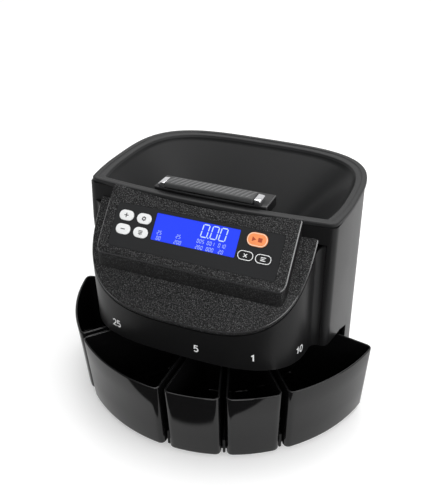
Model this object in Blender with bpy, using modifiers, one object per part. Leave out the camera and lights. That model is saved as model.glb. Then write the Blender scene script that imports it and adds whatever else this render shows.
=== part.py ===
"""Counter-top coin sorting machine: hopper, feed belt, sorting rotor, five slide-out cups, sloped console.

Metres, +Z up, front towards -Y. The pieces hang on the empty "machine", which stands on the vertical axis
of the ring of cups, so the object's box is centred on the origin and its feet stand at z = 0.
"""
import math

import bmesh
import bpy
from mathutils import Matrix, Vector

MM = 0.001

# Driving sizes, measured from the vertical axis of the ring of cups
ring_radius = 177.5 * MM        # outside of the cups at their top edge
cup_top = 85.5 * MM
cup_headroom = 11 * MM          # from the cups up to the drum wall
drum_height = 40.2 * MM         # of the drum wall and its cover, at the front
drum_reach = 68.4 * MM          # of the drum, forward of the body's face
drum_shoulder = 20.2 * MM       # the drum's sides, in from the lip
drum_wall_thickness = 2.5 * MM
hopper_height = 138.2 * MM      # from the drum's lower edge to the top of the hopper's lip
console_rise = 17.5 * MM        # upright height of the console over the slope
console_drop = 0.25 * MM        # its upper end, below the lip where they meet
rim_half_width = 137.0 * MM
rim_front = -69.5 * MM
face_set_back = 2.3 * MM        # the body's face, behind the front of the lip
deck_side_margin = 4.3 * MM     # between the deck and the inside of the drum wall
deck_front_margin = 1.1 * MM
plate_inset = 6 * MM            # edge of the sorting plate, in from the deck's
plate_back_gap = 8 * MM         # between the sorting plate and the main board
board_inset = 15.5 * MM         # main board, in from the body's back
body_back_inset = 2.0 * MM      # the body's back, in from the lip
running_gap = 0.3 * MM          # between pieces that touch or slide
overrun = 5 * MM                # how far a cutter runs past what it cuts
weld = 0.01 * MM                # points this close are one

drum_low = cup_top + cup_headroom
rim_top = drum_low + hopper_height
body_face = rim_front + face_set_back
drum_front = body_face - drum_reach
drum_half_width = rim_half_width - drum_shoulder
slope_foot = drum_low + drum_height
slope_rise = (rim_top - console_drop - console_rise - slope_foot) / drum_reach
slope_angle = math.atan(slope_rise)
deck_radius = drum_half_width - drum_wall_thickness - deck_side_margin
rotor_y = drum_front + drum_wall_thickness + deck_front_margin + deck_radius    # the spindle's place
plate_radius = deck_radius - plate_inset
board_y = rotor_y + plate_radius + plate_back_gap
body_back = board_y + board_inset
rim_back = body_back + body_back_inset
ring_y = -(rim_back - ring_radius) / 2


def clear_scene():
    for found in list(bpy.data.objects):
        bpy.data.objects.remove(found, do_unlink=True)


clear_scene()
parts = bpy.data.collections.new("coin_sorter")
cutters = bpy.data.collections.new("cutters")
bpy.context.scene.collection.children.link(parts)
bpy.context.scene.collection.children.link(cutters)


def material(name, colour, roughness, metallic=0.0):
    made = bpy.data.materials.new(name)
    made.use_nodes = True
    shader = made.node_tree.nodes["Principled BSDF"]
    shader.inputs["Base Color"].default_value = (*colour, 1.0)
    shader.inputs["Roughness"].default_value = roughness
    shader.inputs["Metallic"].default_value = metallic
    return made


def empty(name, location, rotation=(0, 0, 0), parent=None):
    made = bpy.data.objects.new(name, None)
    parts.objects.link(made)
    made.parent = parent
    made.location = location
    made.rotation_euler = rotation
    return made


machine = empty("machine", (0, ring_y, 0))
slope = empty("slope", (0, drum_front, slope_foot), (slope_angle, 0, 0), machine)


def place(name, mesh, finish, origin=(0, 0, 0), parent=machine):
    """An object whose origin is moved to a point of its mesh's own space, such as a joint's axis."""
    mesh.transform(Matrix.Translation(-Vector(origin)))
    made = bpy.data.objects.new(name, mesh)
    made.data.materials.append(finish)
    made.parent = parent
    made.location = origin
    parts.objects.link(made)
    return made


def hide(tool):
    parts.objects.unlink(tool)
    cutters.objects.link(tool)
    tool.hide_render = True
    tool.display_type = "WIRE"


def boolean(target, tool, operation="DIFFERENCE"):
    hide(tool)
    step = target.modifiers.new(tool.name, "BOOLEAN")
    step.operation = operation
    step.object = tool
    step.solver = "EXACT"


def bevel(target, width, segments=2):
    step = target.modifiers.new("edges", "BEVEL")
    step.width = width
    step.segments = segments
    step.limit_method = "ANGLE"
    step.angle_limit = math.radians(40)


def shell(target, wall, outwards=False):
    step = target.modifiers.new("wall", "SOLIDIFY")
    step.thickness = wall
    step.offset = 1 if outwards else -1
    step.use_even_offset = True


def smooth(target, angle=40):
    target.data.shade_smooth()
    target.data.set_sharp_from_angle(angle=math.radians(angle))


def mesh_from(name, build):
    made = bpy.data.meshes.new(name)
    work = bmesh.new()
    build(work)
    work.to_mesh(made)
    work.free()
    return made


def box_mesh(name, low, high):
    low, high = Vector(low), Vector(high)

    def build(work):
        bmesh.ops.create_cube(work, size=1)
        size = high - low
        bmesh.ops.transform(work, matrix=Matrix.Diagonal((*size, 1)), verts=work.verts)
        bmesh.ops.translate(work, vec=(low + high) / 2, verts=work.verts)

    return mesh_from(name, build)


def cylinder_mesh(name, start, end, radius, segments=32):
    """A round bar from one point to another."""
    start, end = Vector(start), Vector(end)
    turn = (end - start).to_track_quat("Z", "Y").to_matrix().to_4x4()

    def build(work):
        bmesh.ops.create_cone(work, cap_ends=True, segments=segments, radius1=radius, radius2=radius,
                              depth=(end - start).length)
        bmesh.ops.transform(work, matrix=Matrix.Translation((start + end) / 2) @ turn, verts=work.verts)

    return mesh_from(name, build)


def outline_mesh(name, outlines, low, high):
    """A flat outline, with any further outlines as holes, thickened from low to high."""
    curve = bpy.data.curves.new(name, "CURVE")
    curve.dimensions = "2D"
    curve.fill_mode = "BOTH"
    curve.extrude = (high - low) / 2
    for outline in outlines:
        spline = curve.splines.new("POLY")
        spline.points.add(len(outline) - 1)
        for point, (x, y) in zip(spline.points, outline):
            point.co = (x, y, 0, 1)
        spline.use_cyclic_u = True
    holder = bpy.data.objects.new(name, curve)
    parts.objects.link(holder)
    seen = holder.evaluated_get(bpy.context.evaluated_depsgraph_get())
    flat = bpy.data.meshes.new_from_object(seen)
    bpy.data.objects.remove(holder, do_unlink=True)
    work = bmesh.new()
    work.from_mesh(flat)
    bmesh.ops.remove_doubles(work, verts=work.verts, dist=weld)
    bmesh.ops.recalc_face_normals(work, faces=work.faces)
    bmesh.ops.translate(work, vec=(0, 0, (low + high) / 2), verts=work.verts)
    work.to_mesh(flat)
    work.free()
    return flat


def loft_mesh(name, loops, cyclic=True, floor=False):
    """An open wall through loops of as many points each, with a floor in the first loop if asked."""

    def build(work):
        rings = [[work.verts.new(point) for point in loop] for loop in loops]
        count = len(rings[0])
        sides = count if cyclic else count - 1
        for lower, upper in zip(rings, rings[1:]):
            for i in range(sides):
                j = (i + 1) % count
                work.faces.new((lower[i], lower[j], upper[j], upper[i]))
        if floor:
            work.faces.new(list(reversed(rings[0])))

    return mesh_from(name, build)


def turned(name, profile, finish, centre, steps=40, ring=False, parent=machine):
    """A profile of (radius, height) pairs turned about the upright line through centre."""
    made = bpy.data.meshes.new(name)
    edges = [(i, i + 1) for i in range(len(profile) - 1)]
    if ring:
        edges.append((len(profile) - 1, 0))
    made.from_pydata([(radius, 0, height) for radius, height in profile], edges, [])
    piece = bpy.data.objects.new(name, made)
    piece.data.materials.append(finish)
    piece.parent = parent
    piece.location = centre
    parts.objects.link(piece)
    step = piece.modifiers.new("turn", "SCREW")
    step.steps = steps
    step.render_steps = steps
    step.use_merge_vertices = True
    step.merge_threshold = weld
    return piece


def ring_profile(inner, outer, low, high):
    return [(inner, high), (outer, high), (outer, low), (inner, low)]


def circle(x, y, radius, count=32):
    turns = [2 * math.pi * i / count for i in range(count)]
    return [(x + radius * math.cos(t), y + radius * math.sin(t)) for t in turns]


def at_angle(degrees, radius):
    """A place on a circle about the ring's axis; 0 degrees is the front, positive turns to the right."""
    turn = math.radians(degrees)
    return radius * math.sin(turn), -radius * math.cos(turn)


def corner_points(start, corner, end, count=4):
    """The rounding between two edges, as a curve drawn towards their corner."""
    points = []
    for i in range(count + 1):
        t = i / count
        points.append(tuple((1 - t) ** 2 * a + 2 * t * (1 - t) * b + t * t * c
                            for a, b, c in zip(start, corner, end)))
    return points


def rounded_rectangle(low_x, low_y, high_x, high_y, corner, count=4):
    points = []
    for x, y, step_in, step_out in ((high_x, low_y, (-1, 0), (0, 1)), (high_x, high_y, (0, -1), (-1, 0)),
                                    (low_x, high_y, (1, 0), (0, -1)), (low_x, low_y, (0, 1), (1, 0))):
        start = (x + step_in[0] * corner, y + step_in[1] * corner)
        end = (x + step_out[0] * corner, y + step_out[1] * corner)
        points += corner_points(start, (x, y), end, count)
    return points


def mirrored(half):
    """The whole outline from its right half, which runs from the front centre to the back centre."""
    return half + [(-x, y) for x, y in reversed(half[1:-1])]


# Finishes, as the photograph shows them
black_smooth = material("black_smooth", (0.018, 0.018, 0.019), 0.38)
black_textured = material("black_textured", (0.035, 0.035, 0.036), 0.6)
black_gloss = material("black_gloss", (0.012, 0.012, 0.013), 0.12)
hopper_grey = material("hopper_grey", (0.055, 0.056, 0.058), 0.55)
overlay_black = material("overlay_black", (0.010, 0.011, 0.012), 0.2)
display_blue = material("display_blue", (0.03, 0.08, 1.0), 0.15)
key_white = material("key_white", (0.85, 0.86, 0.86), 0.4)
key_orange = material("key_orange", (0.95, 0.35, 0.12), 0.4)
key_black = material("key_black", (0.02, 0.02, 0.02), 0.4)
rubber = material("rubber", (0.03, 0.03, 0.03), 0.75)
chrome = material("chrome", (0.8, 0.8, 0.82), 0.12, 1.0)
steel = material("steel", (0.55, 0.56, 0.58), 0.35, 1.0)
bronze = material("bronze", (0.55, 0.38, 0.16), 0.35, 1.0)
board_green = material("board_green", (0.02, 0.16, 0.06), 0.5)
nylon = material("nylon", (0.6, 0.6, 0.58), 0.5)


# Plans of the hopper's lip and of the body below it
rim_widest_y = -8 * MM
rim_side_bow = 5.5 * MM         # how far the sides bow out past the front corners
rim_corner_half = rim_half_width - rim_side_bow
rim_corner_radius = 7 * MM
rim_front_bow = 8.5 * MM        # how far the front edge bows forward at its middle
rim_back_power = 3.5            # squareness of the back corners


def front_edge(x, inset=0.0):
    """The front edge of the lip, which bows forward."""
    return rim_front + inset + rim_front_bow * (x / rim_corner_half) ** 2


def plan(half, corner_half, front, corner, back):
    """An outline from the front centre round: front line, corners, slightly bowed sides, squared back."""
    corner_y = front(corner_half)
    taper = half - corner_half

    def side(y):
        return half - taper * ((y - rim_widest_y) / (corner_y - rim_widest_y)) ** 2

    right = []
    front_steps = 7
    for i in range(front_steps):
        x = (corner_half - corner) * i / front_steps
        right.append((x, front(x)))
    start = (corner_half - corner, front(corner_half - corner))
    end = (side(corner_y + corner), corner_y + corner)
    right += corner_points(start, (corner_half, corner_y), end, 5)
    side_steps = 5
    for i in range(1, side_steps):
        y = end[1] + (rim_widest_y - end[1]) * i / side_steps
        right.append((side(y), y))
    back_steps = 14
    for i in range(back_steps + 1):
        turn = math.pi / 2 * i / back_steps
        x = half * abs(math.cos(turn)) ** (2 / rim_back_power) if i < back_steps else 0.0
        right.append((x, rim_widest_y + (back - rim_widest_y) * math.sin(turn) ** (2 / rim_back_power)))
    return mirrored(right)


def rim_plan(inset=0.0, corner=rim_corner_radius):
    return plan(rim_half_width - inset, rim_corner_half - inset, lambda x: front_edge(x, inset), corner,
                rim_back - inset)


def at_height(outline, z):
    return [(x, y, z) for x, y in outline]


# Base tray: the floor plate with a rib between each two cups and a boss for the spindle's lower bearing
foot_height = 1.7 * MM
foot_radius = 9 * MM
foot_angle = 38                 # degrees either side of the front
foot_margin = 20 * MM           # front feet, in from the tray's edge
foot_side_inset = 45 * MM       # back feet, in from the lip
foot_back_inset = 31.5 * MM
tray_floor_low = foot_height + running_gap
tray_floor = 2.5 * MM
tray_top = tray_floor_low + tray_floor
tray_sweep_angle = 81           # degrees either side of the front
cup_taper = 4.6 * MM            # how much further in a cup's outside stands at its floor
cup_foot_radius = ring_radius - cup_taper
tray_margin = 13 * MM           # tray's edge, in from the foot of the cups
tray_radius = cup_foot_radius - tray_margin
tray_inset = 3.5 * MM           # edge of the tray's rear half, in from the lip
cup_inner_radius = 80 * MM
rib_set_in = 2 * MM
rib_set_back = 6 * MM
rib_thickness = 2.4 * MM
rib_height = 16.5 * MM
body_wall = 2.5 * MM
spindle_radius = 5 * MM
bearing_wall = 5.7 * MM
bearing_outer = spindle_radius + running_gap + bearing_wall
bearing_length = 7 * MM
boss_wall = 3.7 * MM
boss_seat = 7.5 * MM            # floor of the boss above the tray

# Cups, from rib to rib; their angles are in degrees
side_angle = 80.0
first_rib_angle = -40.4
second_rib_angle = 0.3
third_rib_angle = 20.4
fourth_rib_angle = 40.3
rib_angles = (first_rib_angle, second_rib_angle, third_rib_angle, fourth_rib_angle)
cup_angles = {
    "dollar_cup": (-side_angle, first_rib_angle),
    "quarter_cup": (first_rib_angle, second_rib_angle),
    "nickel_cup": (second_rib_angle, third_rib_angle),
    "penny_cup": (third_rib_angle, fourth_rib_angle),
    "dime_cup": (fourth_rib_angle, side_angle),
}
cup_wall = 2.2 * MM
cup_side_gap = 2.7 * MM         # from the rib's middle to the cup's side
cup_corner = 7 * MM
cup_floor = tray_top + running_gap


def tray():
    front = [at_angle(tray_sweep_angle * (i / 20 - 1), tray_radius) for i in range(41)]
    rear = [(x, y) for x, y in rim_plan(tray_inset) if y > rim_widest_y]
    plate = outline_mesh("base_tray", [front + rear], tray_floor_low, tray_top)
    made = place("base_tray", plate, black_smooth)
    sunk = tray_floor / 2
    for i, angle in enumerate(rib_angles):
        low = (-rib_thickness / 2, -cup_foot_radius + rib_set_back, tray_top - sunk)
        high = (rib_thickness / 2, -cup_inner_radius - rib_set_in, tray_top + rib_height)
        rib = place(f"rib_{i}", box_mesh("rib", low, high), black_smooth)
        rib.rotation_euler = (0, 0, math.radians(angle))
        boolean(made, rib, "UNION")
    seat_z = tray_top + boss_seat
    seat_radius = bearing_outer + running_gap
    boss = cylinder_mesh("boss", (0, rotor_y, tray_top - sunk), (0, rotor_y, seat_z + bearing_length),
                         seat_radius + boss_wall)
    boolean(made, place("boss", boss, black_smooth), "UNION")
    seat_end = seat_z + bearing_length + overrun
    seat = cylinder_mesh("seat", (0, rotor_y, seat_z), (0, rotor_y, seat_end), seat_radius)
    boolean(made, place("seat", seat, black_smooth))


tray()

foot_back_x = rim_half_width - foot_side_inset
foot_back_y = rim_back - foot_back_inset
foot_places = {
    "foot_front_left": at_angle(-foot_angle, tray_radius - foot_margin),
    "foot_front_right": at_angle(foot_angle, tray_radius - foot_margin),
    "foot_back_left": (-foot_back_x, foot_back_y),
    "foot_back_right": (foot_back_x, foot_back_y),
}
for foot_name, (foot_x, foot_y) in foot_places.items():
    foot_top = (foot_x, foot_y, foot_height)
    foot_mesh = cylinder_mesh(foot_name, (foot_x, foot_y, 0), foot_top, foot_radius, 24)
    smooth(place(foot_name, foot_mesh, rubber))


def sector(inner, outer, low_angle, high_angle):
    """The plan of a cup: a slice of a ring, its sides beside the ribs and its corners rounded."""
    points = []

    def on_side(angle, radius, way):
        return at_angle(angle + way * math.degrees(math.asin(cup_side_gap / radius)), radius)

    def past_corner(angle, radius, way):
        return angle + way * math.degrees(math.asin((cup_side_gap + cup_corner) / radius))

    span = high_angle - low_angle
    first, last = past_corner(low_angle, outer, 1), past_corner(high_angle, outer, -1)
    points += corner_points(on_side(low_angle, outer - cup_corner, 1), on_side(low_angle, outer, 1),
                            at_angle(first, outer))
    steps = round(span / 3)
    points += [at_angle(first + (last - first) * i / steps, outer) for i in range(1, steps)]
    points += corner_points(at_angle(last, outer), on_side(high_angle, outer, -1),
                            on_side(high_angle, outer - cup_corner, -1))
    first, last = past_corner(high_angle, inner, -1), past_corner(low_angle, inner, 1)
    points += corner_points(on_side(high_angle, inner + cup_corner, -1), on_side(high_angle, inner, -1),
                            at_angle(first, inner))
    steps = max(2, round(span / 8))
    points += [at_angle(first + (last - first) * i / steps, inner) for i in range(1, steps)]
    points += corner_points(at_angle(last, inner), on_side(low_angle, inner, 1),
                            on_side(low_angle, inner + cup_corner, 1))
    return points


def cup(name, low_angle, high_angle):
    foot = at_height(sector(cup_inner_radius, cup_foot_radius, low_angle, high_angle), cup_floor)
    top = at_height(sector(cup_inner_radius, ring_radius, low_angle, high_angle), cup_top)
    made = place(name, loft_mesh(name, [foot, top], floor=True), black_gloss)
    shell(made, cup_wall)
    smooth(made, 50)


for cup_name, (cup_low_angle, cup_high_angle) in cup_angles.items():
    cup(cup_name, cup_low_angle, cup_high_angle)


# Body housing: the wall below the lip, open at the front for the drum and over the cups
lip_drop = 3.7 * MM             # height of the lip's outer edge
body_top = rim_top - lip_drop - running_gap
body_low = tray_top + running_gap
arch_places_shares = ((-0.90, 1.129), (-0.34, 1.129), (-0.135, 1.04), (0.023, 0.88))  # ring radius, cup top
body_side_inset = 1.2 * MM      # in from the lip
body_half_width = rim_half_width - body_side_inset
body_corner_radius = 8 * MM
body_ledge = 1.5 * MM           # how far the front corners stand out past the lip's
body_ledge_taper = 0.7 * MM     # less at the top
face_lean = 3.2 * MM            # how far the face leans back at its top
face_lean_height = 44.7 * MM    # from the top of the lip
body_flange = 8.5 * MM          # inner edge of the flange under the lip, in from the lip's edge
flange_corner = 2 * MM
cover_thickness = 2.5 * MM
cover_upright = cover_thickness / math.cos(slope_angle)
drum_flare = 8 * MM             # of the drum wall where it meets the body's face
drum_face_half = drum_half_width + drum_flare
panel_half = 44 * MM            # opening for the inlet panel
panel_low = 22 * MM
panel_high = 60 * MM


def slope_z(y):
    return slope_foot + slope_rise * (y - drum_front)


def body():
    corner_half = rim_corner_half + body_ledge
    rings = ((body_low, corner_half, body_face), (rim_top - face_lean_height, corner_half, body_face),
             (body_top, corner_half - body_ledge_taper, body_face + face_lean))
    loops = []
    for z, half, face in rings:
        outline = plan(body_half_width, half, lambda x, face=face: face, body_corner_radius, body_back)
        loops.append(at_height(outline, z))
    loops.append(at_height(rim_plan(body_flange, flange_corner), body_top))
    made = place("body_housing", loft_mesh("body_housing", loops), black_smooth)
    shell(made, body_wall)
    arch = [(y * ring_radius, z * cup_top) for y, z in arch_places_shares]
    arch = [(arch[0][0], -overrun)] + arch + [(arch[-1][0], -overrun)]
    side = outline_mesh("arch", [arch], -ring_radius, ring_radius)
    side.transform(Matrix(((0, 0, 1, 0), (1, 0, 0, 0), (0, 1, 0, 0), (0, 0, 0, 1))))
    boolean(made, place("arch", side, black_smooth))
    opening_half = drum_face_half + running_gap
    opening_top = slope_z(body_face) - cover_upright
    front = box_mesh("front_opening", (-opening_half, body_face - overrun, drum_low - overrun),
                     (opening_half, body_face + face_lean + body_wall + overrun, opening_top))
    boolean(made, place("front_opening", front, black_smooth))
    back = box_mesh("panel_opening", (-panel_half, body_back - body_wall - overrun, panel_low),
                    (panel_half, body_back + overrun, panel_high))
    boolean(made, place("panel_opening", back, black_smooth))
    smooth(made, 50)


body()


# Hopper: lip, inner step and a bowl whose walls run straight down to the outlet over the feed belt
hopper_wall = 2.2 * MM
lip_width = 12 * MM
lip_steps_shares = ((0, -1), (0, -0.2), (0.08, 0), (0.4, 0), (0.47, -0.25), (0.88, -0.35), (1, -1.1))
deck_rise = 2.5 * MM            # deck above the drum's lower edge
deck_low = drum_low + deck_rise
outlet_rise = 59 * MM           # outlet above the deck
outlet_z = deck_low + outlet_rise
outlet_half_x = 46 * MM
outlet_half_y = 19 * MM
outlet_set_back = 38.5 * MM     # middle of the outlet, behind the lip's front
outlet_y = rim_front + outlet_set_back
outlet_power = 4.0              # squareness of its corners
bowl_rings = 3


def outlet_plan(outline):
    """The outlet's outline, with a point for each of the lip's, so that the walls between are straight."""
    points = []
    for x, y in outline:
        turn = math.atan2((y - rim_widest_y) / (rim_back - rim_widest_y), x / rim_half_width)
        across, along = math.cos(turn), math.sin(turn)
        points.append((outlet_half_x * math.copysign(abs(across) ** (2 / outlet_power), across),
                       outlet_y + outlet_half_y * math.copysign(abs(along) ** (2 / outlet_power), along)))
    return points


def hopper():
    loops = []
    for inset_share, height_share in lip_steps_shares:
        inset = inset_share * lip_width
        corner = max(rim_corner_radius - inset, flange_corner)
        loops.append(at_height(rim_plan(inset, corner), rim_top + height_share * lip_drop))
    last = loops[-1]
    foot = outlet_plan([(x, y) for x, y, z in last])
    for step in range(1, bowl_rings + 1):
        share = step / bowl_rings
        loops.append([(x + (fx - x) * share, y + (fy - y) * share, z + (outlet_z - z) * share)
                      for (x, y, z), (fx, fy) in zip(last, foot)])
    made = place("hopper", loft_mesh("hopper", loops), hopper_grey)
    shell(made, hopper_wall)
    smooth(made, 50)


hopper()


# Drum wall: a skirt over the cups, flared where it meets the body
drum_set_in = 3.4 * MM          # widest line of the drum's plan, behind the body's face
drum_centre_y = body_face + drum_set_in
drum_power = 3.09               # squareness of its front corners
cover_edge = 0.6 * MM


def drum_plan(back_y, count=36):
    """The drum's plan, from its left side round the front to its right side, back to the line back_y."""
    depth = drum_centre_y - drum_front
    reach = math.acos(((drum_centre_y - back_y) / depth) ** (drum_power / 2))
    points = []
    for i in range(count + 1):
        turn = reach * (2 * i / count - 1)
        x = drum_half_width * math.copysign(abs(math.sin(turn)) ** (2 / drum_power), turn)
        points.append((x, drum_centre_y - depth * math.cos(turn) ** (2 / drum_power)))
    return points


def drum():
    front = drum_plan(body_face - drum_flare)
    flare = []
    for i in range(1, 6):
        turn = math.pi / 2 * i / 5
        flare.append((drum_half_width + drum_flare * (1 - math.cos(turn)),
                      body_face - drum_flare + drum_flare * math.sin(turn)))
    plan = [(-x, y) for x, y in reversed(flare)] + front + flare
    under = cover_upright + running_gap / math.cos(slope_angle)
    low = at_height(plan, drum_low)
    high = [(x, y, slope_z(y) - under) for x, y in plan]
    made = place("drum_wall", loft_mesh("drum_wall", [low, high], cyclic=False), black_smooth)
    shell(made, drum_wall_thickness)
    smooth(made, 50)


drum()


def sloped(mesh):
    """Leans a flat piece up the slope, its sides staying upright."""
    lean = Matrix(((1, 0, 0, 0), (0, 1, 0, 0), (0, slope_rise, 1, slope_z(0)), (0, 0, 0, 1)))
    mesh.transform(lean)
    return mesh


def cover():
    flat = outline_mesh("sorter_cover", [drum_plan(body_face - running_gap)], -cover_upright, 0)
    made = place("sorter_cover", sloped(flat), black_textured)
    bevel(made, cover_edge)
    smooth(made)


cover()


# Console: a raised box on the slope, with the overlay, the display and the keys let into its top
console_shoulder = 16.2 * MM    # its sides, in from the drum's
console_half = drum_half_width - console_shoulder
console_set_back = 23.6 * MM    # its front, behind the drum's
console_front = drum_front + console_set_back
console_back_share = 0.45       # of the face's lean, so that its back clears the body
console_back = body_face + console_back_share * face_lean
console_corner = 8 * MM
console_wall = 2.2 * MM
console_top = console_rise * math.cos(slope_angle)      # square to the slope
console_length = (console_back - console_front) / math.cos(slope_angle)


def up_console(distance):
    """Place on the slope's own axis of a line that far up the console's top from its front edge."""
    return (console_set_back + console_top * math.sin(slope_angle)) / math.cos(slope_angle) + distance


overlay_side_inset = 11.6 * MM
overlay_half = console_half - overlay_side_inset
overlay_margin = 8.8 * MM       # from the console's front edge
overlay_length = 44.8 * MM
overlay_low = up_console(overlay_margin)
overlay_high = overlay_low + overlay_length
overlay_corner = 4 * MM
overlay_thickness = 0.9 * MM
display_margin = 23.1 * MM
display_length = 27.2 * MM
display_low = up_console(display_margin)
display_high = display_low + display_length
display_corner = 1 * MM
display_thickness = 1.2 * MM
key_proud = 0.7 * MM
key_depth = 3.6 * MM
key_travel = 0.8 * MM
board_depth = key_depth + key_travel + 2 * running_gap     # control board, below the console's top
board_thickness = 1.5 * MM
board_end_gap = 17.7 * MM       # its upper end, below the console's
white_key_length = 16 * MM
white_key_width = 10.5 * MM
start_key_length = 21 * MM
start_key_width = 13.5 * MM
dark_key_length = 16.5 * MM
dark_key_width = 9.5 * MM
key_inset = 12.4 * MM           # middle of the outer white keys, in from the overlay's side
key_pitch = 19.9 * MM
start_inset = 26.1 * MM
clear_offset = 7.6 * MM         # the dark keys, to either side of the orange one
report_offset = 10.3 * MM
display_key_gap = 12.2 * MM     # from the inner keys' middle to the display
outer_column = overlay_half - key_inset         # places across the console, from its middle
inner_column = outer_column - key_pitch
start_column = overlay_half - start_inset
clear_column = start_column - clear_offset
report_column = start_column + report_offset
display_half = inner_column - display_key_gap
lower_row = 27.3 * MM           # places up the console
upper_row = 41.6 * MM
start_row = 44.2 * MM
white_key = (white_key_length, white_key_width, key_white)
start_key = (start_key_length, start_key_width, key_orange)
dark_key = (dark_key_length, dark_key_width, key_black)
keys = {
    "key_plus": (-outer_column, upper_row, white_key),
    "key_set": (-inner_column, upper_row, white_key),
    "key_minus": (-outer_column, lower_row, white_key),
    "key_batch": (-inner_column, lower_row, white_key),
    "key_start_stop": (start_column, start_row, start_key),
    "key_clear": (clear_column, lower_row, dark_key),
    "key_report": (report_column, lower_row, dark_key),
}


def console_plan(inset):
    half = console_half - inset
    front = console_front + inset
    corner = console_corner - inset / 2
    steps = 12
    across = [half * (1 - 2 * i / steps) for i in range(steps + 1)]
    back = [(x, min(front_edge(x) - running_gap, console_back) - inset) for x in across]
    left = corner_points((-half, front + corner), (-half, front), (-half + corner, front))
    right = corner_points((half - corner, front), (half, front), (half, front + corner))
    return left + right + back


def pill(x, row, length, width, grow=0.0, count=6):
    """A key's outline: a bar with round ends."""
    radius = width / 2 + grow
    reach = length / 2 + grow - radius
    v = up_console(row)
    points = []
    for side in (1, -1):
        for i in range(count + 1):
            turn = math.pi * i / count - math.pi / 2
            across = reach + radius * math.cos(turn)
            points.append((x + side * across, v + side * radius * math.sin(turn)))
    return points


def display_plan(grow):
    return rounded_rectangle(-display_half - grow, display_low - grow, display_half + grow,
                             display_high + grow, display_corner + grow, 2)


def overlay_plan(grow):
    return rounded_rectangle(-overlay_half - grow, overlay_low - grow, overlay_half + grow,
                             overlay_high + grow, overlay_corner + grow)


def console():
    block = outline_mesh("console_housing", [console_plan(0)], running_gap, console_rise)
    made = place("console_housing", sloped(block), black_textured)
    hollow = outline_mesh("console_hollow", [console_plan(console_wall)], -overrun,
                          console_rise - console_wall / math.cos(slope_angle))
    boolean(made, place("console_hollow", sloped(hollow), black_textured))
    recess = outline_mesh("overlay_recess", [overlay_plan(running_gap)],
                          console_top - overlay_thickness - running_gap, console_top + overrun)
    boolean(made, place("overlay_recess", recess, black_textured, parent=slope))
    window = outline_mesh("display_hole", [display_plan(running_gap)], console_top - overrun, console_top)
    boolean(made, place("display_hole", window, black_textured, parent=slope))
    for name, (x, row, (length, width, finish)) in keys.items():
        hole = outline_mesh("key_hole", [pill(x, row, length, width, running_gap)], console_top - overrun,
                            console_top)
        boolean(made, place(name + "_hole", hole, black_textured, parent=slope))
    smooth(made)


console()


def console_insides():
    cutouts = [pill(x, row, length, width, running_gap)
               for x, row, (length, width, finish) in keys.values()]
    cutouts.append(display_plan(running_gap))
    overlay = outline_mesh("control_overlay", [overlay_plan(0)] + cutouts, console_top - overlay_thickness,
                           console_top)
    place("control_overlay", overlay, overlay_black, parent=slope)
    window_low = console_top - display_thickness
    window = outline_mesh("display_window", [display_plan(0)], window_low, console_top)
    place("display_window", window, display_blue, parent=slope)
    board_top = console_top - board_depth
    module = box_mesh("display_module", (-display_half, display_low, board_top + running_gap),
                      (display_half, display_high, window_low - running_gap))
    place("display_module", module, steel, parent=slope)
    board = box_mesh("control_board", (-overlay_half, overlay_low, board_top - board_thickness),
                     (overlay_half, up_console(console_length - board_end_gap), board_top))
    place("control_board", board, board_green, parent=slope)
    for name, (x, row, (length, width, finish)) in keys.items():
        cap = outline_mesh(name, [pill(x, row, length, width)], console_top - key_depth,
                           console_top + key_proud)
        smooth(place(name, cap, finish, (x, up_console(row), console_top), slope), 50)


console_insides()


# Carry handle: a rubber grip on a sprung steel strap, whose ends slide up in two caps on a platform
grip_half = 47.5 * MM
grip_set_back = 12 * MM         # its front, behind the lip's
grip_depth = 17 * MM
grip_rise = 2.2 * MM            # its underside, above the lip
grip_height = 6.5 * MM
grip_edge = 1.5 * MM
strap_width = 13.5 * MM
strap_thickness = 1.2 * MM
strap_rise = 2.5 * MM           # middle of the strap, above the grip's underside
handle_lift = 2 * MM
cap_gap = 0.8 * MM              # from the grip to the caps
cap_length = 7.9 * MM
cap_end_wall = 1.4 * MM
cap_margin = 1.8 * MM           # of the caps round the strap
platform_side = 4.8 * MM        # of the platform past the caps
platform_rise = 0.6 * MM        # above the lip
platform_height = 11.3 * MM
platform_depth = 29.3 * MM      # behind the inside of the lip
platform_gap = 1.2 * MM
platform_edge = 0.8 * MM

grip_front = rim_front + grip_set_back
grip_low = rim_top + grip_rise
strap_y = grip_front + grip_depth / 2
strap_z = grip_low + strap_rise
platform_top = rim_top + platform_rise
cap_inner = grip_half + cap_gap
cap_outer = cap_inner + cap_length
platform_half = cap_outer + platform_side


def strap_slot(name, low_x, high_x, lift=0.0):
    """Room for the strap, and for its rise."""
    across = strap_width / 2 + running_gap
    up = strap_thickness / 2 + running_gap
    return box_mesh(name, (low_x, strap_y - across, strap_z - up),
                    (high_x, strap_y + across, strap_z + up + lift))


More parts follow.
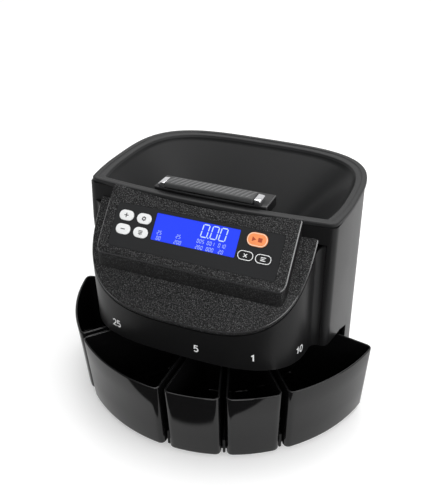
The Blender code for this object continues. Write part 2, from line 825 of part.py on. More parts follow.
def handle():
    steps = 8
    front_inset = lip_width + platform_gap
    across = [platform_half * (2 * i / steps - 1) for i in range(steps + 1)]
    front = [(x, front_edge(x, front_inset)) for x in across]
    back_y = rim_front + front_inset + platform_depth
    plate = outline_mesh("handle_platform", [front + [(platform_half, back_y), (-platform_half, back_y)]],
                         platform_top - platform_height, platform_top)
    bevel(place("handle_platform", plate, black_smooth), platform_edge)
    bar = box_mesh("handle_grip", (-grip_half, grip_front, grip_low),
                   (grip_half, grip_front + grip_depth, grip_low + grip_height))
    grip = place("handle_grip", bar, rubber)
    bevel(grip, grip_edge, 3)
    slot = strap_slot("grip_slot", -grip_half - overrun, grip_half + overrun)
    boolean(grip, place("grip_slot", slot, rubber))
    strap_half = cap_outer - cap_end_wall - running_gap
    strap_top = strap_z + strap_thickness / 2
    strap = box_mesh("handle_strap", (-strap_half, strap_y - strap_width / 2, strap_z - strap_thickness / 2),
                     (strap_half, strap_y + strap_width / 2, strap_top))
    place("handle_strap", strap, steel)
    cap_high = strap_top + running_gap + handle_lift + cap_end_wall
    half_depth = strap_width / 2 + cap_margin
    for name, side in (("handle_cap_left", -1), ("handle_cap_right", 1)):
        inner, outer = sorted((side * cap_inner, side * cap_outer))
        block = box_mesh(name, (inner, strap_y - half_depth, platform_top + running_gap),
                         (outer, strap_y + half_depth, cap_high))
        reach = sorted((side * (cap_inner - overrun), side * (cap_outer - cap_end_wall)))
        pocket = place(name + "_pocket", strap_slot("pocket", *reach, handle_lift), chrome)
        boolean(place(name, block, chrome), pocket)


handle()


# Deck and sorting track: the coins ride round the plate inside the guide ring and drop at their own hole
deck_thickness = 2 * MM
deck_side_inset = 33 * MM       # in from the lip
deck_back_inset = 15.5 * MM
deck_half = rim_half_width - deck_side_inset
deck_back = rim_back - deck_back_inset
deck_corner = 45 * MM
plate_thickness = 3 * MM
guide_wall = 3.5 * MM
guide_height = 8 * MM
track_half = 15 * MM            # half the width of the path of the coins
hole_ring_radius = plate_radius - guide_wall - track_half
coin_clearance = 0.8 * MM
dime_diameter = 17.9 * MM
penny_diameter = 19.05 * MM
nickel_diameter = 21.2 * MM
quarter_diameter = 24.3 * MM
dollar_diameter = 26.5 * MM
coin_angles = {62: dime_diameter, 34: penny_diameter, 10: nickel_diameter, -23: quarter_diameter,
               -64: dollar_diameter}   # degrees about the spindle
slot_angles = (-76, 72)         # ends of the deck's slot under the holes
slot_margin = 0.5 * MM          # of the slot past the path
deck_top = deck_low + deck_thickness
plate_low = deck_top + running_gap
plate_top = plate_low + plate_thickness
post_radius = 5 * MM
post_angle = 38
post_gap = 4 * MM               # from the front posts to the cups
post_side_inset = 16 * MM
post_back_inset = 22 * MM
post_x, post_y = at_angle(post_angle, cup_inner_radius - post_gap - post_radius)
post_back_x, post_back_y = deck_half - post_side_inset, deck_back - post_back_inset
post_places = {
    "post_front_left": (-post_x, post_y),
    "post_front_right": (post_x, post_y),
    "post_back_left": (-post_back_x, post_back_y),
    "post_back_right": (post_back_x, post_back_y),
}


def about_spindle(points):
    return [(x, y + rotor_y) for x, y in points]


def arc(radius, first, last, steps):
    return about_spindle([at_angle(first + (last - first) * i / steps, radius) for i in range(steps + 1)])


def deck():
    back = (corner_points((deck_half, deck_back - deck_corner), (deck_half, deck_back),
                          (deck_half - deck_corner, deck_back))
            + corner_points((-deck_half + deck_corner, deck_back), (-deck_half, deck_back),
                            (-deck_half, deck_back - deck_corner)))
    wide = track_half + slot_margin
    slot = (arc(hole_ring_radius + wide, *slot_angles, 24)
            + arc(hole_ring_radius - wide, *reversed(slot_angles), 24))
    hub = circle(0, rotor_y, bearing_outer + running_gap)
    front = arc(deck_radius, -90, 90, 32)
    plate = outline_mesh("deck_plate", [front + back, hub, slot], deck_low, deck_top)
    place("deck_plate", plate, steel)
    outlines = [circle(0, rotor_y, plate_radius, 64),
                circle(0, rotor_y, spindle_radius + coin_clearance, 24)]
    for angle, diameter in coin_angles.items():
        x, y = at_angle(angle, hole_ring_radius)
        outlines.append(circle(x, y + rotor_y, diameter / 2 + coin_clearance, 24))
    place("sorting_plate", outline_mesh("sorting_plate", outlines, plate_low, plate_top), steel)
    guide_low = plate_top + running_gap
    profile = ring_profile(plate_radius - guide_wall, plate_radius, guide_low, guide_low + guide_height)
    smooth(turned("guide_ring", profile, nylon, (0, rotor_y, 0), 64, ring=True))
    for name, (x, y) in post_places.items():
        foot, head = (x, y, tray_top + running_gap), (x, y, deck_low - running_gap)
        post = cylinder_mesh(name, foot, head, post_radius, 16)
        smooth(place(name, post, steel))


deck()


# Rotor and its drive
rotor_low = plate_top + 2 * running_gap
rotor_disc_radius = hole_ring_radius - track_half - slot_margin
rotor_disc_thickness = 3 * MM
fin_count = 8
fin_thickness = 4 * MM
fin_height = 6 * MM
fin_gap = 1.5 * MM              # from the fins to the guide ring
cone_radius = 34 * MM
cone_height = 12 * MM
cone_edge = 4 * MM
spindle_low = tray_top + boss_seat + running_gap
spindle_rise = 14 * MM          # top of the spindle above the sorting plate
spindle_high = plate_top + spindle_rise
pulley_drop = 37 * MM           # large pulley, below the deck
pulley_low = deck_low - pulley_drop
pulley_height = 11 * MM
pulley_rim = 1.5 * MM
pulley_spacing = 17 * MM        # between the two pulleys
panel_gap = 2 * MM              # from the inlet panel to the body's wall
panel_y = body_back - body_wall - panel_gap
inlet_depth = 24 * MM
motor_back_gap = 16 * MM        # between the motor and the power inlet
motor_radius = 19 * MM
motor_y = panel_y - inlet_depth - motor_back_gap - motor_radius
motor_drop = 5 * MM             # the motor's top, below its pulley
motor_collar = 2 * MM
motor_collar_radius = 7 * MM
motor_pulley_radius = 11 * MM
pulley_radius = motor_y - rotor_y - motor_pulley_radius - pulley_spacing
motor_shaft_radius = 3 * MM
belt_thickness = 1.6 * MM
belt_side_gap = 0.5 * MM


def grooved(radius, bore, low, high):
    """A belt pulley's profile: a flanged rim about its bore."""
    flange = pulley_rim
    return [(bore, high), (radius + flange, high), (radius + flange, high - flange), (radius, high - flange),
            (radius, low + flange), (radius + flange, low + flange), (radius + flange, low), (bore, low)]


def rotor():
    centre = (0, rotor_y, 0)
    bore = spindle_radius + running_gap
    disc_plan = [circle(0, rotor_y, rotor_disc_radius, 48), circle(0, rotor_y, bore, 24)]
    disc = outline_mesh("sorting_rotor", disc_plan, rotor_low, rotor_low + rotor_disc_thickness)
    made = place("sorting_rotor", disc, nylon, centre)
    fin_reach = plate_radius - guide_wall - fin_gap
    for i in range(fin_count):
        bar = box_mesh("fin", (-fin_thickness / 2, -fin_reach, rotor_low + running_gap),
                       (fin_thickness / 2, -cone_radius + fin_gap, rotor_low + fin_height))
        fin = place(f"fin_{i}", bar, nylon)
        fin.location = centre
        fin.rotation_euler = (0, 0, 2 * math.pi * i / fin_count)
        boolean(made, fin, "UNION")
    cone_low = rotor_low + rotor_disc_thickness / 2
    cone_top = cone_low + cone_height
    cone_bore = bore + running_gap
    profile = [(cone_bore, cone_top), (cone_bore + cone_edge, cone_top), (cone_radius, cone_low + cone_edge),
               (cone_radius, cone_low), (cone_bore, cone_low)]
    boolean(made, turned("rotor_cone", profile, nylon, centre, 32, ring=True), "UNION")
    bar = cylinder_mesh("spindle", (0, rotor_y, spindle_low), (0, rotor_y, spindle_high),
                        spindle_radius, 24)
    smooth(place("spindle", bar, steel, centre))
    for name, low in (("lower_bearing", spindle_low), ("upper_bearing", deck_top - bearing_length)):
        profile = ring_profile(bore, bearing_outer, low, low + bearing_length)
        smooth(turned(name, profile, bronze, centre, 24, ring=True))
    profile = grooved(pulley_radius, bore, pulley_low, pulley_low + pulley_height)
    smooth(turned("spindle_pulley", profile, nylon, centre, 48, ring=True))


def capsule(far_y, near_radius, far_radius, grow, count=16):
    """The line of a belt round the spindle's pulley and a smaller one behind it, at rotor_y and far_y."""
    near, far = near_radius + grow, far_radius + grow
    lean = math.asin((near - far) / (far_y - rotor_y))
    points = []
    for i in range(2 * count + 1):
        turn = lean - (math.pi + 2 * lean) * i / (2 * count)
        points.append((near * math.cos(turn), rotor_y + near * math.sin(turn)))
    for i in range(count + 1):
        turn = math.pi - lean - (math.pi - 2 * lean) * i / count
        points.append((far * math.cos(turn), far_y + far * math.sin(turn)))
    return points


rotor()


def drive():
    belt_low = pulley_low + pulley_rim + belt_side_gap
    belt_high = pulley_low + pulley_height - pulley_rim - belt_side_gap
    inside = capsule(motor_y, pulley_radius, motor_pulley_radius, running_gap)
    outside = capsule(motor_y, pulley_radius, motor_pulley_radius, running_gap + belt_thickness)
    place("drive_belt", outline_mesh("drive_belt", [outside, inside], belt_low, belt_high), rubber)
    centre = (0, motor_y, 0)
    motor_high = pulley_low - motor_drop
    collar_high = motor_high + motor_collar
    shaft_high = pulley_low + pulley_height + motor_collar
    motor_low = tray_top + running_gap
    can = [(0, shaft_high), (motor_shaft_radius, shaft_high), (motor_shaft_radius, collar_high),
           (motor_collar_radius, collar_high), (motor_collar_radius, motor_high), (motor_radius, motor_high),
           (motor_radius, motor_low), (0, motor_low)]
    smooth(turned("main_motor", can, steel, centre, 32))
    profile = grooved(motor_pulley_radius, motor_shaft_radius + running_gap, pulley_low,
                      pulley_low + pulley_height)
    smooth(turned("motor_pulley", profile, nylon, centre, 32, ring=True))


drive()


# Feed belt under the hopper's outlet
feed_roller_radius = 8 * MM
feed_lead = 11 * MM             # front roller, ahead of the middle of the outlet
feed_centres = 48 * MM
feed_drop = 15 * MM             # the rollers' axes, below the outlet
feed_front_y = outlet_y - feed_lead
feed_back_y = feed_front_y + feed_centres
feed_z = outlet_z - feed_drop
feed_plate_inner = outlet_half_x + running_gap      # the plates hang from the hopper's outlet
feed_plate_thickness = 2 * MM
feed_plate_drop = 15 * MM       # their lower edge, below the axes
feed_plate_margin = 12 * MM
feed_plate_high = outlet_z - hopper_wall / 2 - 2 * running_gap
feed_side_gap = 1.8 * MM        # from the plates to the rollers, and from there to the belt's edge
feed_half = feed_plate_inner - feed_side_gap
feed_belt_half = feed_half - feed_side_gap
feed_belt_thickness = 1.2 * MM
feed_axle = 3 * MM
feed_motor_radius = 11 * MM
feed_motor_length = 32 * MM


def feed():
    plate_outer = feed_plate_inner + feed_plate_thickness
    axle_half = plate_outer + running_gap
    lines = {"front": feed_front_y, "back": feed_back_y}
    for place_name, y in lines.items():
        name = f"feed_roller_{place_name}"
        roll = cylinder_mesh(name, (-feed_half, y, feed_z), (feed_half, y, feed_z), feed_roller_radius, 24)
        roller = place(name, roll, rubber, (0, y, feed_z))
        axle = cylinder_mesh("axle", (-axle_half, y, feed_z), (axle_half, y, feed_z), feed_axle, 16)
        boolean(roller, place(name + "_axle", axle, steel), "UNION")
        smooth(roller)
    for name, side in (("feed_plate_left", -1), ("feed_plate_right", 1)):
        low_x, high_x = sorted((side * feed_plate_inner, side * plate_outer))
        sheet = box_mesh(name, (low_x, feed_front_y - feed_plate_margin, feed_z - feed_plate_drop),
                         (high_x, feed_back_y + feed_plate_margin, feed_plate_high))
        made = place(name, sheet, steel)
        for place_name, y in lines.items():
            bore = cylinder_mesh("bore", (low_x - overrun, y, feed_z), (high_x + overrun, y, feed_z),
                                 feed_axle + running_gap, 16)
            boolean(made, place(f"{name}_{place_name}_bore", bore, steel))
    rounds = []
    for grow in (running_gap + feed_belt_thickness, running_gap):
        radius = feed_roller_radius + grow
        line = []
        for y, start in ((feed_back_y, -math.pi / 2), (feed_front_y, math.pi / 2)):
            for i in range(9):
                turn = start + math.pi * i / 8
                line.append((y + radius * math.cos(turn), feed_z + radius * math.sin(turn)))
        rounds.append(line)
    loop = outline_mesh("feed_belt", rounds, -feed_belt_half, feed_belt_half)
    loop.transform(Matrix(((0, 0, 1, 0), (1, 0, 0, 0), (0, 1, 0, 0), (0, 0, 0, 1))))
    place("feed_belt", loop, rubber)
    start_x = axle_half + running_gap
    can = cylinder_mesh("feed_motor", (start_x, feed_back_y, feed_z),
                        (start_x + feed_motor_length, feed_back_y, feed_z), feed_motor_radius, 24)
    smooth(place("feed_motor", can, steel))


feed()


# Electrics: coin sensor, main board, transformer, and the inlet, switch and fuse on their rear panel
sensor_angle = 118              # degrees about the spindle
sensor_width = 18 * MM
sensor_length = 20 * MM
sensor_height = 7 * MM
sensor_overlap = 6 * MM         # of its bridge over the guide ring
board_half = 60 * MM
board_height = 80 * MM
transformer_x = -47 * MM        # inside the ring of cups, under the large pulley
transformer_y = -12 * MM
core_width = 42 * MM
core_depth = 38 * MM
core_height = 45 * MM
coil_width = 28 * MM
coil_overhang = 7 * MM          # in front of and behind the core
coil_margin = 7 * MM            # below the core's top and above its foot
panel_thickness = 1.6 * MM
panel_lap = 5 * MM              # behind the edge of its opening
panel_corner = 2 * MM
socket_middle = 41 * MM         # height of the row of inlet, switch and fuse
socket_flange = 2 * MM          # how far they stand out of the panel
socket_corner = 2 * MM
inlet_x = 23.5 * MM
inlet_width = 29 * MM
inlet_height = 22 * MM
inlet_wall = 3 * MM
inlet_hollow = 16 * MM
switch_x = -11.5 * MM
switch_width = 15 * MM
switch_height = 22 * MM
switch_depth = 18 * MM
switch_wall = 1.5 * MM
switch_well = 8 * MM
fuse_x = -33 * MM
fuse_radius = 6 * MM
fuse_length = 23 * MM
rocker_tilt = math.radians(8)
rocker_gap = 0.5 * MM           # beside it
rocker_end_gap = 1.9 * MM       # above and below it, for its swing
rocker_rise = 3 * MM            # out of the panel, and its pivot's depth behind it
rocker_keel = 1.5 * MM


def electrics():
    x, y = at_angle(sensor_angle, plate_radius - guide_wall / 2)
    low = plate_top + 2 * running_gap + guide_height
    bridge = box_mesh("coin_sensor", (-sensor_width / 2, sensor_overlap - sensor_length, low),
                      (sensor_width / 2, sensor_overlap, low + sensor_height))
    sensor = place("coin_sensor", bridge, black_smooth)
    sensor.location = (x, y + rotor_y, 0)
    sensor.rotation_euler = (0, 0, math.radians(sensor_angle + 180))
    board_low = deck_top + running_gap
    board = box_mesh("main_board", (-board_half, board_y, board_low),
                     (board_half, board_y + board_thickness, board_low + board_height))
    place("main_board", board, board_green)
    low = tray_top + running_gap
    core = box_mesh("transformer", (transformer_x - core_width / 2, transformer_y - core_depth / 2, low),
                    (transformer_x + core_width / 2, transformer_y + core_depth / 2, low + core_height))
    half_coil = core_depth / 2 + coil_overhang
    coil_top = low + core_height - coil_margin
    coil = box_mesh("coil", (transformer_x - coil_width / 2, transformer_y - half_coil, low + coil_margin),
                    (transformer_x + coil_width / 2, transformer_y + half_coil, coil_top))
    boolean(place("transformer", core, steel), place("coil", coil, steel), "UNION")


electrics()


def stood(mesh):
    """Stands a flat piece up in the rear panel's plane, its upper side to the back."""
    mesh.transform(Matrix(((-1, 0, 0, 0), (0, 0, 1, 0), (0, 1, 0, 0), (0, 0, 0, 1))))
    return mesh


def cutout(x, width, height, inset=0.0):
    """A socket's outline on the panel, as seen from the back, where x runs the other way."""
    half_width, half_height = width / 2 - inset, height / 2 - inset
    return rounded_rectangle(-x - half_width, socket_middle - half_height, -x + half_width,
                             socket_middle + half_height, socket_corner, 2)


def socket(name, x, width, height, depth, wall, hollow):
    """A socket's body, held in its cut-out and hollow to the back."""
    end = panel_y + socket_flange
    block = outline_mesh(name, [cutout(x, width, height, running_gap)], panel_y - depth, end)
    made = place(name, stood(block), black_smooth)
    inside = outline_mesh(name, [cutout(x, width, height, wall)], panel_y - hollow, end + overrun)
    boolean(made, place(name + "_inside", stood(inside), black_smooth))


def rear_panel():
    sheet = rounded_rectangle(-panel_half - panel_lap, panel_low - panel_lap, panel_half + panel_lap,
                              panel_high + panel_lap, panel_corner, 2)
    outlines = [sheet, cutout(inlet_x, inlet_width, inlet_height),
                cutout(switch_x, switch_width, switch_height),
                circle(-fuse_x, socket_middle, fuse_radius, 20)]
    plate = outline_mesh("inlet_panel", outlines, panel_y - panel_thickness, panel_y)
    place("inlet_panel", stood(plate), steel)
    socket("power_inlet", inlet_x, inlet_width, inlet_height, inlet_depth, inlet_wall, inlet_hollow)
    socket("switch_frame", switch_x, switch_width, switch_height, switch_depth, switch_wall, switch_well)
    fuse_end = panel_y + socket_flange
    fuse = cylinder_mesh("fuse_holder", (fuse_x, fuse_end - fuse_length, socket_middle),
                         (fuse_x, fuse_end, socket_middle), fuse_radius - running_gap, 20)
    smooth(place("fuse_holder", fuse, black_smooth))


rear_panel()


def rocker():
    """The rocker's face leans at rest, top out, and its back ends in a keel under the pivot."""
    half = switch_width / 2 - switch_wall - rocker_gap
    reach = switch_height / 2 - switch_wall - rocker_end_gap
    pivot_y = panel_y - rocker_rise
    face = panel_y + rocker_rise
    lean = reach * math.tan(rocker_tilt)
    profile = [(face - 2 * lean, socket_middle - reach), (face, socket_middle + reach),
               (pivot_y, socket_middle + reach), (pivot_y - rocker_keel, socket_middle),
               (pivot_y, socket_middle - reach)]
    made = outline_mesh("switch_rocker", [profile], switch_x - half, switch_x + half)
    made.transform(Matrix(((0, 0, 1, 0), (1, 0, 0, 0), (0, 1, 0, 0), (0, 0, 0, 1))))
    place("switch_rocker", made, key_black, (0, pivot_y, socket_middle))


rocker()
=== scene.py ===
"""Looks of a counter-top coin sorting machine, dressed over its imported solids.

Shapes are drawn in millimetres about the upright axis of the ring of cups, front towards -Y, and then moved
into the frame, which is in metres.
"""
import math

import bmesh
import bpy
from mathutils import Matrix, Vector


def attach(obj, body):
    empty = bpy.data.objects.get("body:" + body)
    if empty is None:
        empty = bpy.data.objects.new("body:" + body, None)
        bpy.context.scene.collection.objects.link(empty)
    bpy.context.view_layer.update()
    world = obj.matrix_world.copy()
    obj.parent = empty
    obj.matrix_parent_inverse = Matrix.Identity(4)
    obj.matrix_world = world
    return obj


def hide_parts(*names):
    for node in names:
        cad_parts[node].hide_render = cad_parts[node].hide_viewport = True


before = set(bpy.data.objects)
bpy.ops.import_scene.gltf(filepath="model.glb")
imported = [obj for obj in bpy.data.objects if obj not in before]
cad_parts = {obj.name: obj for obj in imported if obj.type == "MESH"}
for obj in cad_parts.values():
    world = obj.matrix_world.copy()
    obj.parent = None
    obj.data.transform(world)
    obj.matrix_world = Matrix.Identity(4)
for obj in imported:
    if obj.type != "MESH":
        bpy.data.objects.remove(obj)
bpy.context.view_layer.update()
scene = bpy.context.scene

# Studio: the photograph's camera over a white floor that keeps the shadow, a pale world and soft lamps.
# The camera was fitted to the outlines of the machine; its lens and shift are worked out from that fit in pixels.
frame_width, frame_height = 435, 495
focal_length = 682.57
axis_across, axis_down = 238.878, 252.574
eye = (0.257265, -0.561714, 0.540982)
eye_azimuth, eye_elevation = 22.548, 31.741


def stood(name, data):
    """An object of its own in the scene."""
    made = bpy.data.objects.new(name, data)
    scene.collection.objects.link(made)
    return made


lens = bpy.data.cameras.new("camera")
lens.lens = focal_length * lens.sensor_width / frame_height
lens.shift_x = -(axis_across - frame_width / 2) / frame_height
lens.shift_y = (axis_down - frame_height / 2) / frame_height
camera = stood("camera", lens)
camera.location = eye
camera.rotation_euler = (math.radians(90 - eye_elevation), 0, math.radians(eye_azimuth))
scene.camera = camera
scene.view_settings.view_transform = "Standard"


def emptied(owner):
    """The node tree of a world or a material, with nothing in it yet."""
    owner.use_nodes = True
    owner.node_tree.nodes.clear()
    return owner.node_tree


def put(tree, kind, given=None, **settings):
    """A new node in a tree. Each socket is given its value, or the output of another node that feeds it."""
    node = tree.nodes.new(kind if "Node" in kind else "ShaderNode" + kind)
    for name, value in settings.items():
        setattr(node, name, value)
    for name, value in (given or {}).items():
        if isinstance(value, bpy.types.NodeSocket):
            tree.links.new(value, node.inputs[name])
        else:
            node.inputs[name].default_value = value
    return node


def blank(name):
    """A new material, its empty tree, and the place on a piece that its pattern follows."""
    made = bpy.data.materials.new(name)
    tree = emptied(made)
    return made, tree, put(tree, "TexCoord").outputs["Object"]


def computed(tree, operation, first, second, clamp=True):
    return put(tree, "Math", {0: first, 1: second}, operation=operation, use_clamp=clamp).outputs[0]


def background_rays(tree, lit_part):
    """1 for the rays that look straight at the backdrop, or see its lit part in metal or through glass."""
    path = put(tree, "LightPath").outputs
    seen = computed(tree, "ADD", path["Is Glossy Ray"], path["Is Transmission Ray"])
    return computed(tree, "ADD", path["Is Camera Ray"], computed(tree, "MULTIPLY", seen, lit_part))


def dimmed(tree, value, loss):
    """A value that is less by its loss for the rays that metal and gloss see."""
    glossy = put(tree, "LightPath").outputs["Is Glossy Ray"]
    return computed(tree, "SUBTRACT", value, computed(tree, "MULTIPLY", glossy, loss))


def faded(tree, value, full, none):
    """1 where the value is at full, and 0 where it is at none, softly between."""
    return put(tree, "MapRange", {"Value": value, "From Min": none, "From Max": full},
               interpolation_type="SMOOTHSTEP").outputs[0]


def surfaced(tree, kind, share, plain, seen):
    """Ends a tree in the plain shader, and by its share in the one that is seen as the background."""
    choose = put(tree, "MixShader", {"Fac": share, 1: plain.outputs[0], 2: seen.outputs[0]})
    put(tree, kind, {"Surface": choose.outputs[0]})


# Glossy rays see the room dimmed, bright only on a low sheet towards the back: painted reflections in glossy
# parts.
sky_strength, sky_dim = 0.55, 0.3
sheet_share = 0.7
sheet_rise = 0.5
sheet_full, sheet_none = 0.05, 0.45
scene.world = bpy.data.worlds.new("pale_room")
tree = emptied(scene.world)
room = put(tree, "Background", {"Strength": dimmed(tree, sky_strength, sky_dim)})
direction = put(tree, "TexCoord").outputs["Generated"]
over_sheet = put(tree, "VectorMath", {0: direction, 1: (0, -sheet_rise, 1)}, operation="DOT_PRODUCT")
sheet = faded(tree, over_sheet.outputs["Value"], sheet_full, sheet_none)
surfaced(tree, "OutputWorld", background_rays(tree, sheet), room, put(tree, "Background"))

floor_half = 6.0
floor_light, floor_far_light = 0.27, 0.33
floor_far, floor_near = 1.6, 0.5
floor_cover = 0.82
# Glossy rays see the floor white only on a bowed patch in front of the machine and dim grey elsewhere: painted
# reflections.
floor_plain, floor_dim = 0.45, 0.40
sheet_end_full, sheet_end_none = -0.170, -0.178
sheet_middle, sheet_bow = 0.04, 1.2
mesh = bpy.data.meshes.new("floor")
mesh.from_pydata([(x * floor_half, y * floor_half, 0) for x, y in ((-1, -1), (1, -1), (1, 1), (-1, 1))], [],
                 [(0, 1, 2, 3)])
floor = stood("floor", mesh)
floor_paint, tree, place = blank("floor_paint")
plain = put(tree, "BsdfDiffuse", {"Color": dimmed(tree, floor_plain, floor_dim)})
away = put(tree, "VectorMath", {0: place}, operation="LENGTH").outputs["Value"]
far = computed(tree, "MULTIPLY", faded(tree, away, floor_far, floor_near), floor_far_light)
lit = put(tree, "Emission", {"Strength": computed(tree, "ADD", far, floor_light)})
shaded = put(tree, "BsdfDiffuse", {"Color": (floor_cover, floor_cover, floor_cover, 1)})
both = put(tree, "AddShader", {0: shaded.outputs[0], 1: lit.outputs[0]})
parts = put(tree, "SeparateXYZ", {0: place}).outputs
aside = computed(tree, "SUBTRACT", parts["X"], sheet_middle, clamp=False)
bow = computed(tree, "MULTIPLY", aside, aside, clamp=False)
bow = computed(tree, "MULTIPLY", bow, sheet_bow, clamp=False)
bow = computed(tree, "ADD", bow, parts["Y"], clamp=False)
sheet = computed(tree, "MULTIPLY", faded(tree, bow, sheet_end_full, sheet_end_none), sheet_share)
surfaced(tree, "OutputMaterial", background_rays(tree, sheet), plain, both)
mesh.materials.append(floor_paint)

lamp_target = Vector((0, 0.02, 0.12))
lamps = {
    "overhead_box": ((-0.05, 0.5, 1.45), 1.4, 1.4, 17.0),
    "right_strip": ((1.3, -0.49, 0.77), 1.4, 0.5, 9.0),
    "front_box": ((0.6, -1.5, 0.95), 0.9, 0.9, 9.0),
}
for name, (place, width, height, watts) in lamps.items():
    lamp = bpy.data.lights.new(name, "AREA")
    lamp.shape = "RECTANGLE"
    lamp.energy = watts
    lamp.size, lamp.size_y = width, height
    holder = stood(name, lamp)
    holder.location = place
    holder.rotation_euler = (Vector(place) - lamp_target).to_track_quat("Z", "Y").to_euler()

# Base tray: the moulded floor plate under the cups, with a low rib between each two of them.
# It stands on four glued rubber feet, and its rear half follows the body.
to_frame = Matrix.Translation((0, 0.035, 0)) @ Matrix.Scale(0.001, 4)
touch = 0.3
ring_radius = 177.5
cup_foot_radius = 172.9
tray_low, tray_top = 2.0, 4.5
tray_radius = 159.9
tray_sweep, tray_steps, tray_inset = 81, 120, 3.5
rim_half, rim_corner_half, rim_front, rim_back = 137.0, 131.5, -69.5, 107.5
rim_widest, rim_corner, rim_bow, rim_power = -8.0, 7.0, 8.5, 3.5


def at_angle(degrees, radius):
    """A place on a circle about the ring's axis: 0 degrees is the front, and positive turns to the right."""
    turn = math.radians(degrees)
    return radius * math.sin(turn), -radius * math.cos(turn)


def shares(count):
    return [i / count for i in range(count + 1)]


def corner_points(start, corner, end, count=10):
    return [tuple((1 - t) ** 2 * a + 2 * t * (1 - t) * b + t * t * c for a, b, c in zip(start, corner, end))
            for t in shares(count)]


def front_edge(x, inset=0.0):
    return rim_front + inset + rim_bow * (x / rim_corner_half) ** 2


def plan(half, corner_half, front, corner, back, front_steps=22, side_steps=16, back_steps=44):
    """The outline of the lip or the body from the front centre round: bowed front and sides, squared back."""
    corner_y = front(corner_half)
    taper = half - corner_half

    def side(y):
        return half - taper * ((y - rim_widest) / (corner_y - rim_widest)) ** 2

    right = [((corner_half - corner) * i / front_steps, front((corner_half - corner) * i / front_steps))
             for i in range(front_steps)]
    start = (corner_half - corner, front(corner_half - corner))
    end = (side(corner_y + corner), corner_y + corner)
    right += corner_points(start, (corner_half, corner_y), end)
    for i in range(1, side_steps):
        y = end[1] + (rim_widest - end[1]) * i / side_steps
        right.append((side(y), y))
    for i in range(back_steps + 1):
        turn = math.pi / 2 * i / back_steps
        x = half * abs(math.cos(turn)) ** (2 / rim_power) if i < back_steps else 0.0
        right.append((x, rim_widest + (back - rim_widest) * math.sin(turn) ** (2 / rim_power)))
    return right + [(-x, y) for x, y in reversed(right[1:-1])]


def rim_plan(inset=0.0, corner=rim_corner):
    return plan(rim_half - inset, rim_corner_half - inset, lambda x: front_edge(x, inset), corner,
                rim_back - inset)


def at_height(outline, z):
    return [(x, y, z) for x, y in outline]


def finished(work, name):
    made = bpy.data.meshes.new(name)
    work.to_mesh(made)
    work.free()
    return made


def settled(holder):
    """What an object's curve or modifiers make of it, as a plain mesh. The object itself goes."""
    made = bpy.data.meshes.new_from_object(holder.evaluated_get(bpy.context.evaluated_depsgraph_get()))
    bpy.data.objects.remove(holder)
    return made


def loft(name, loops, cyclic=True, ends=()):
    """A skin through loops of as many points each, closed at the ends that are named: low, high."""
    work = bmesh.new()
    rings = [[work.verts.new(point) for point in loop] for loop in loops]
    count = len(rings[0])
    for lower, upper in zip(rings, rings[1:]):
        for i in range(count if cyclic else count - 1):
            j = (i + 1) % count
            work.faces.new((lower[i], lower[j], upper[j], upper[i]))
    if "low" in ends:
        work.faces.new(list(reversed(rings[0])))
    if "high" in ends:
        work.faces.new(rings[-1])
    return finished(work, name)


def slab(name, outlines, low, high):
    """A flat outline, with any further outlines as holes, thickened from low to high."""
    curve = bpy.data.curves.new(name, "CURVE")
    curve.dimensions = "2D"
    curve.fill_mode = "BOTH"
    curve.extrude = (high - low) / 2
    for outline in outlines:
        spline = curve.splines.new("POLY")
        spline.points.add(len(outline) - 1)
        for point, (x, y) in zip(spline.points, outline):
            point.co = (x, y, 0, 1)
        spline.use_cyclic_u = True
    work = bmesh.new()
    work.from_mesh(settled(stood(name, curve)))
    bmesh.ops.remove_doubles(work, verts=work.verts, dist=0.01)
    bmesh.ops.recalc_face_normals(work, faces=work.faces)
    bmesh.ops.translate(work, vec=(0, 0, (low + high) / 2), verts=work.verts)
    return finished(work, name)


def block(name, low, high):
    low, high = Vector(low), Vector(high)
    work = bmesh.new()
    bmesh.ops.create_cube(work, size=1)
    bmesh.ops.transform(work, matrix=Matrix.Translation((low + high) / 2) @ Matrix.Diagonal((*(high - low), 1)),
                        verts=work.verts)
    return finished(work, name)


def altered(holder, kind, **settings):
    step = holder.modifiers.new(kind.lower(), kind)
    for name, value in settings.items():
        setattr(step, name, value)


def worked(mesh, cuts=(), joins=(), wall=0.0, edge=0.0, edge_steps=3, edge_angle=35, edge_slot=0):
    """A mesh given its wall, its joins and cuts, and its rounded edges, in that order, as a plain mesh again."""
    while len(mesh.materials) <= edge_slot:
        mesh.materials.append(None)
    holder = stood(mesh.name, mesh)
    if wall:
        altered(holder, "SOLIDIFY", thickness=wall, offset=-1, use_even_offset=True)
    tools = [("UNION", stood("tool", tool)) for tool in joins]
    tools += [("DIFFERENCE", stood("tool", tool)) for tool in cuts]
    for operation, tool in tools:
        altered(holder, "BOOLEAN", operation=operation, object=tool, solver="EXACT")
    if edge:
        altered(holder, "BEVEL", width=edge, segments=edge_steps, limit_method="ANGLE", use_clamp_overlap=False,
                angle_limit=math.radians(edge_angle), material=edge_slot)
    made = settled(holder)
    for operation, tool in tools:
        bpy.data.objects.remove(tool)
    return made


def socketed(tree, inputs, outputs):
    """Names a tree's inputs and outputs, each with its kind, and gives the two nodes that stand for them."""
    for way, sockets in (("INPUT", inputs), ("OUTPUT", outputs)):
        for name, kind in sockets.items():
            tree.interface.new_socket(name, in_out=way, socket_type="NodeSocket" + kind)
    return put(tree, "NodeGroupInput").outputs, put(tree, "NodeGroupOutput")


def ranged(tree, value, low, high, start=0.0, end=1.0):
    """The value brought from the range of start to end into that of low to high."""
    return put(tree, "MapRange", {
        "Value": value, "From Min": start, "From Max": end, "To Min": low, "To Max": high}).outputs[0]


def scaled(tree, colour, amount):
    return put(tree, "VectorMath", {0: colour, "Scale": amount}, operation="SCALE").outputs[0]


def blended(tree, share, first, second):
    return put(tree, "Mix", {"Factor": share, "A": first, "B": second}, data_type="RGBA").outputs["Result"]


def noise(tree, place, scale, detail, roughness=0.5):
    return put(tree, "TexNoise", {
        "Vector": place, "Scale": scale, "Detail": detail, "Roughness": roughness}).outputs["Fac"]


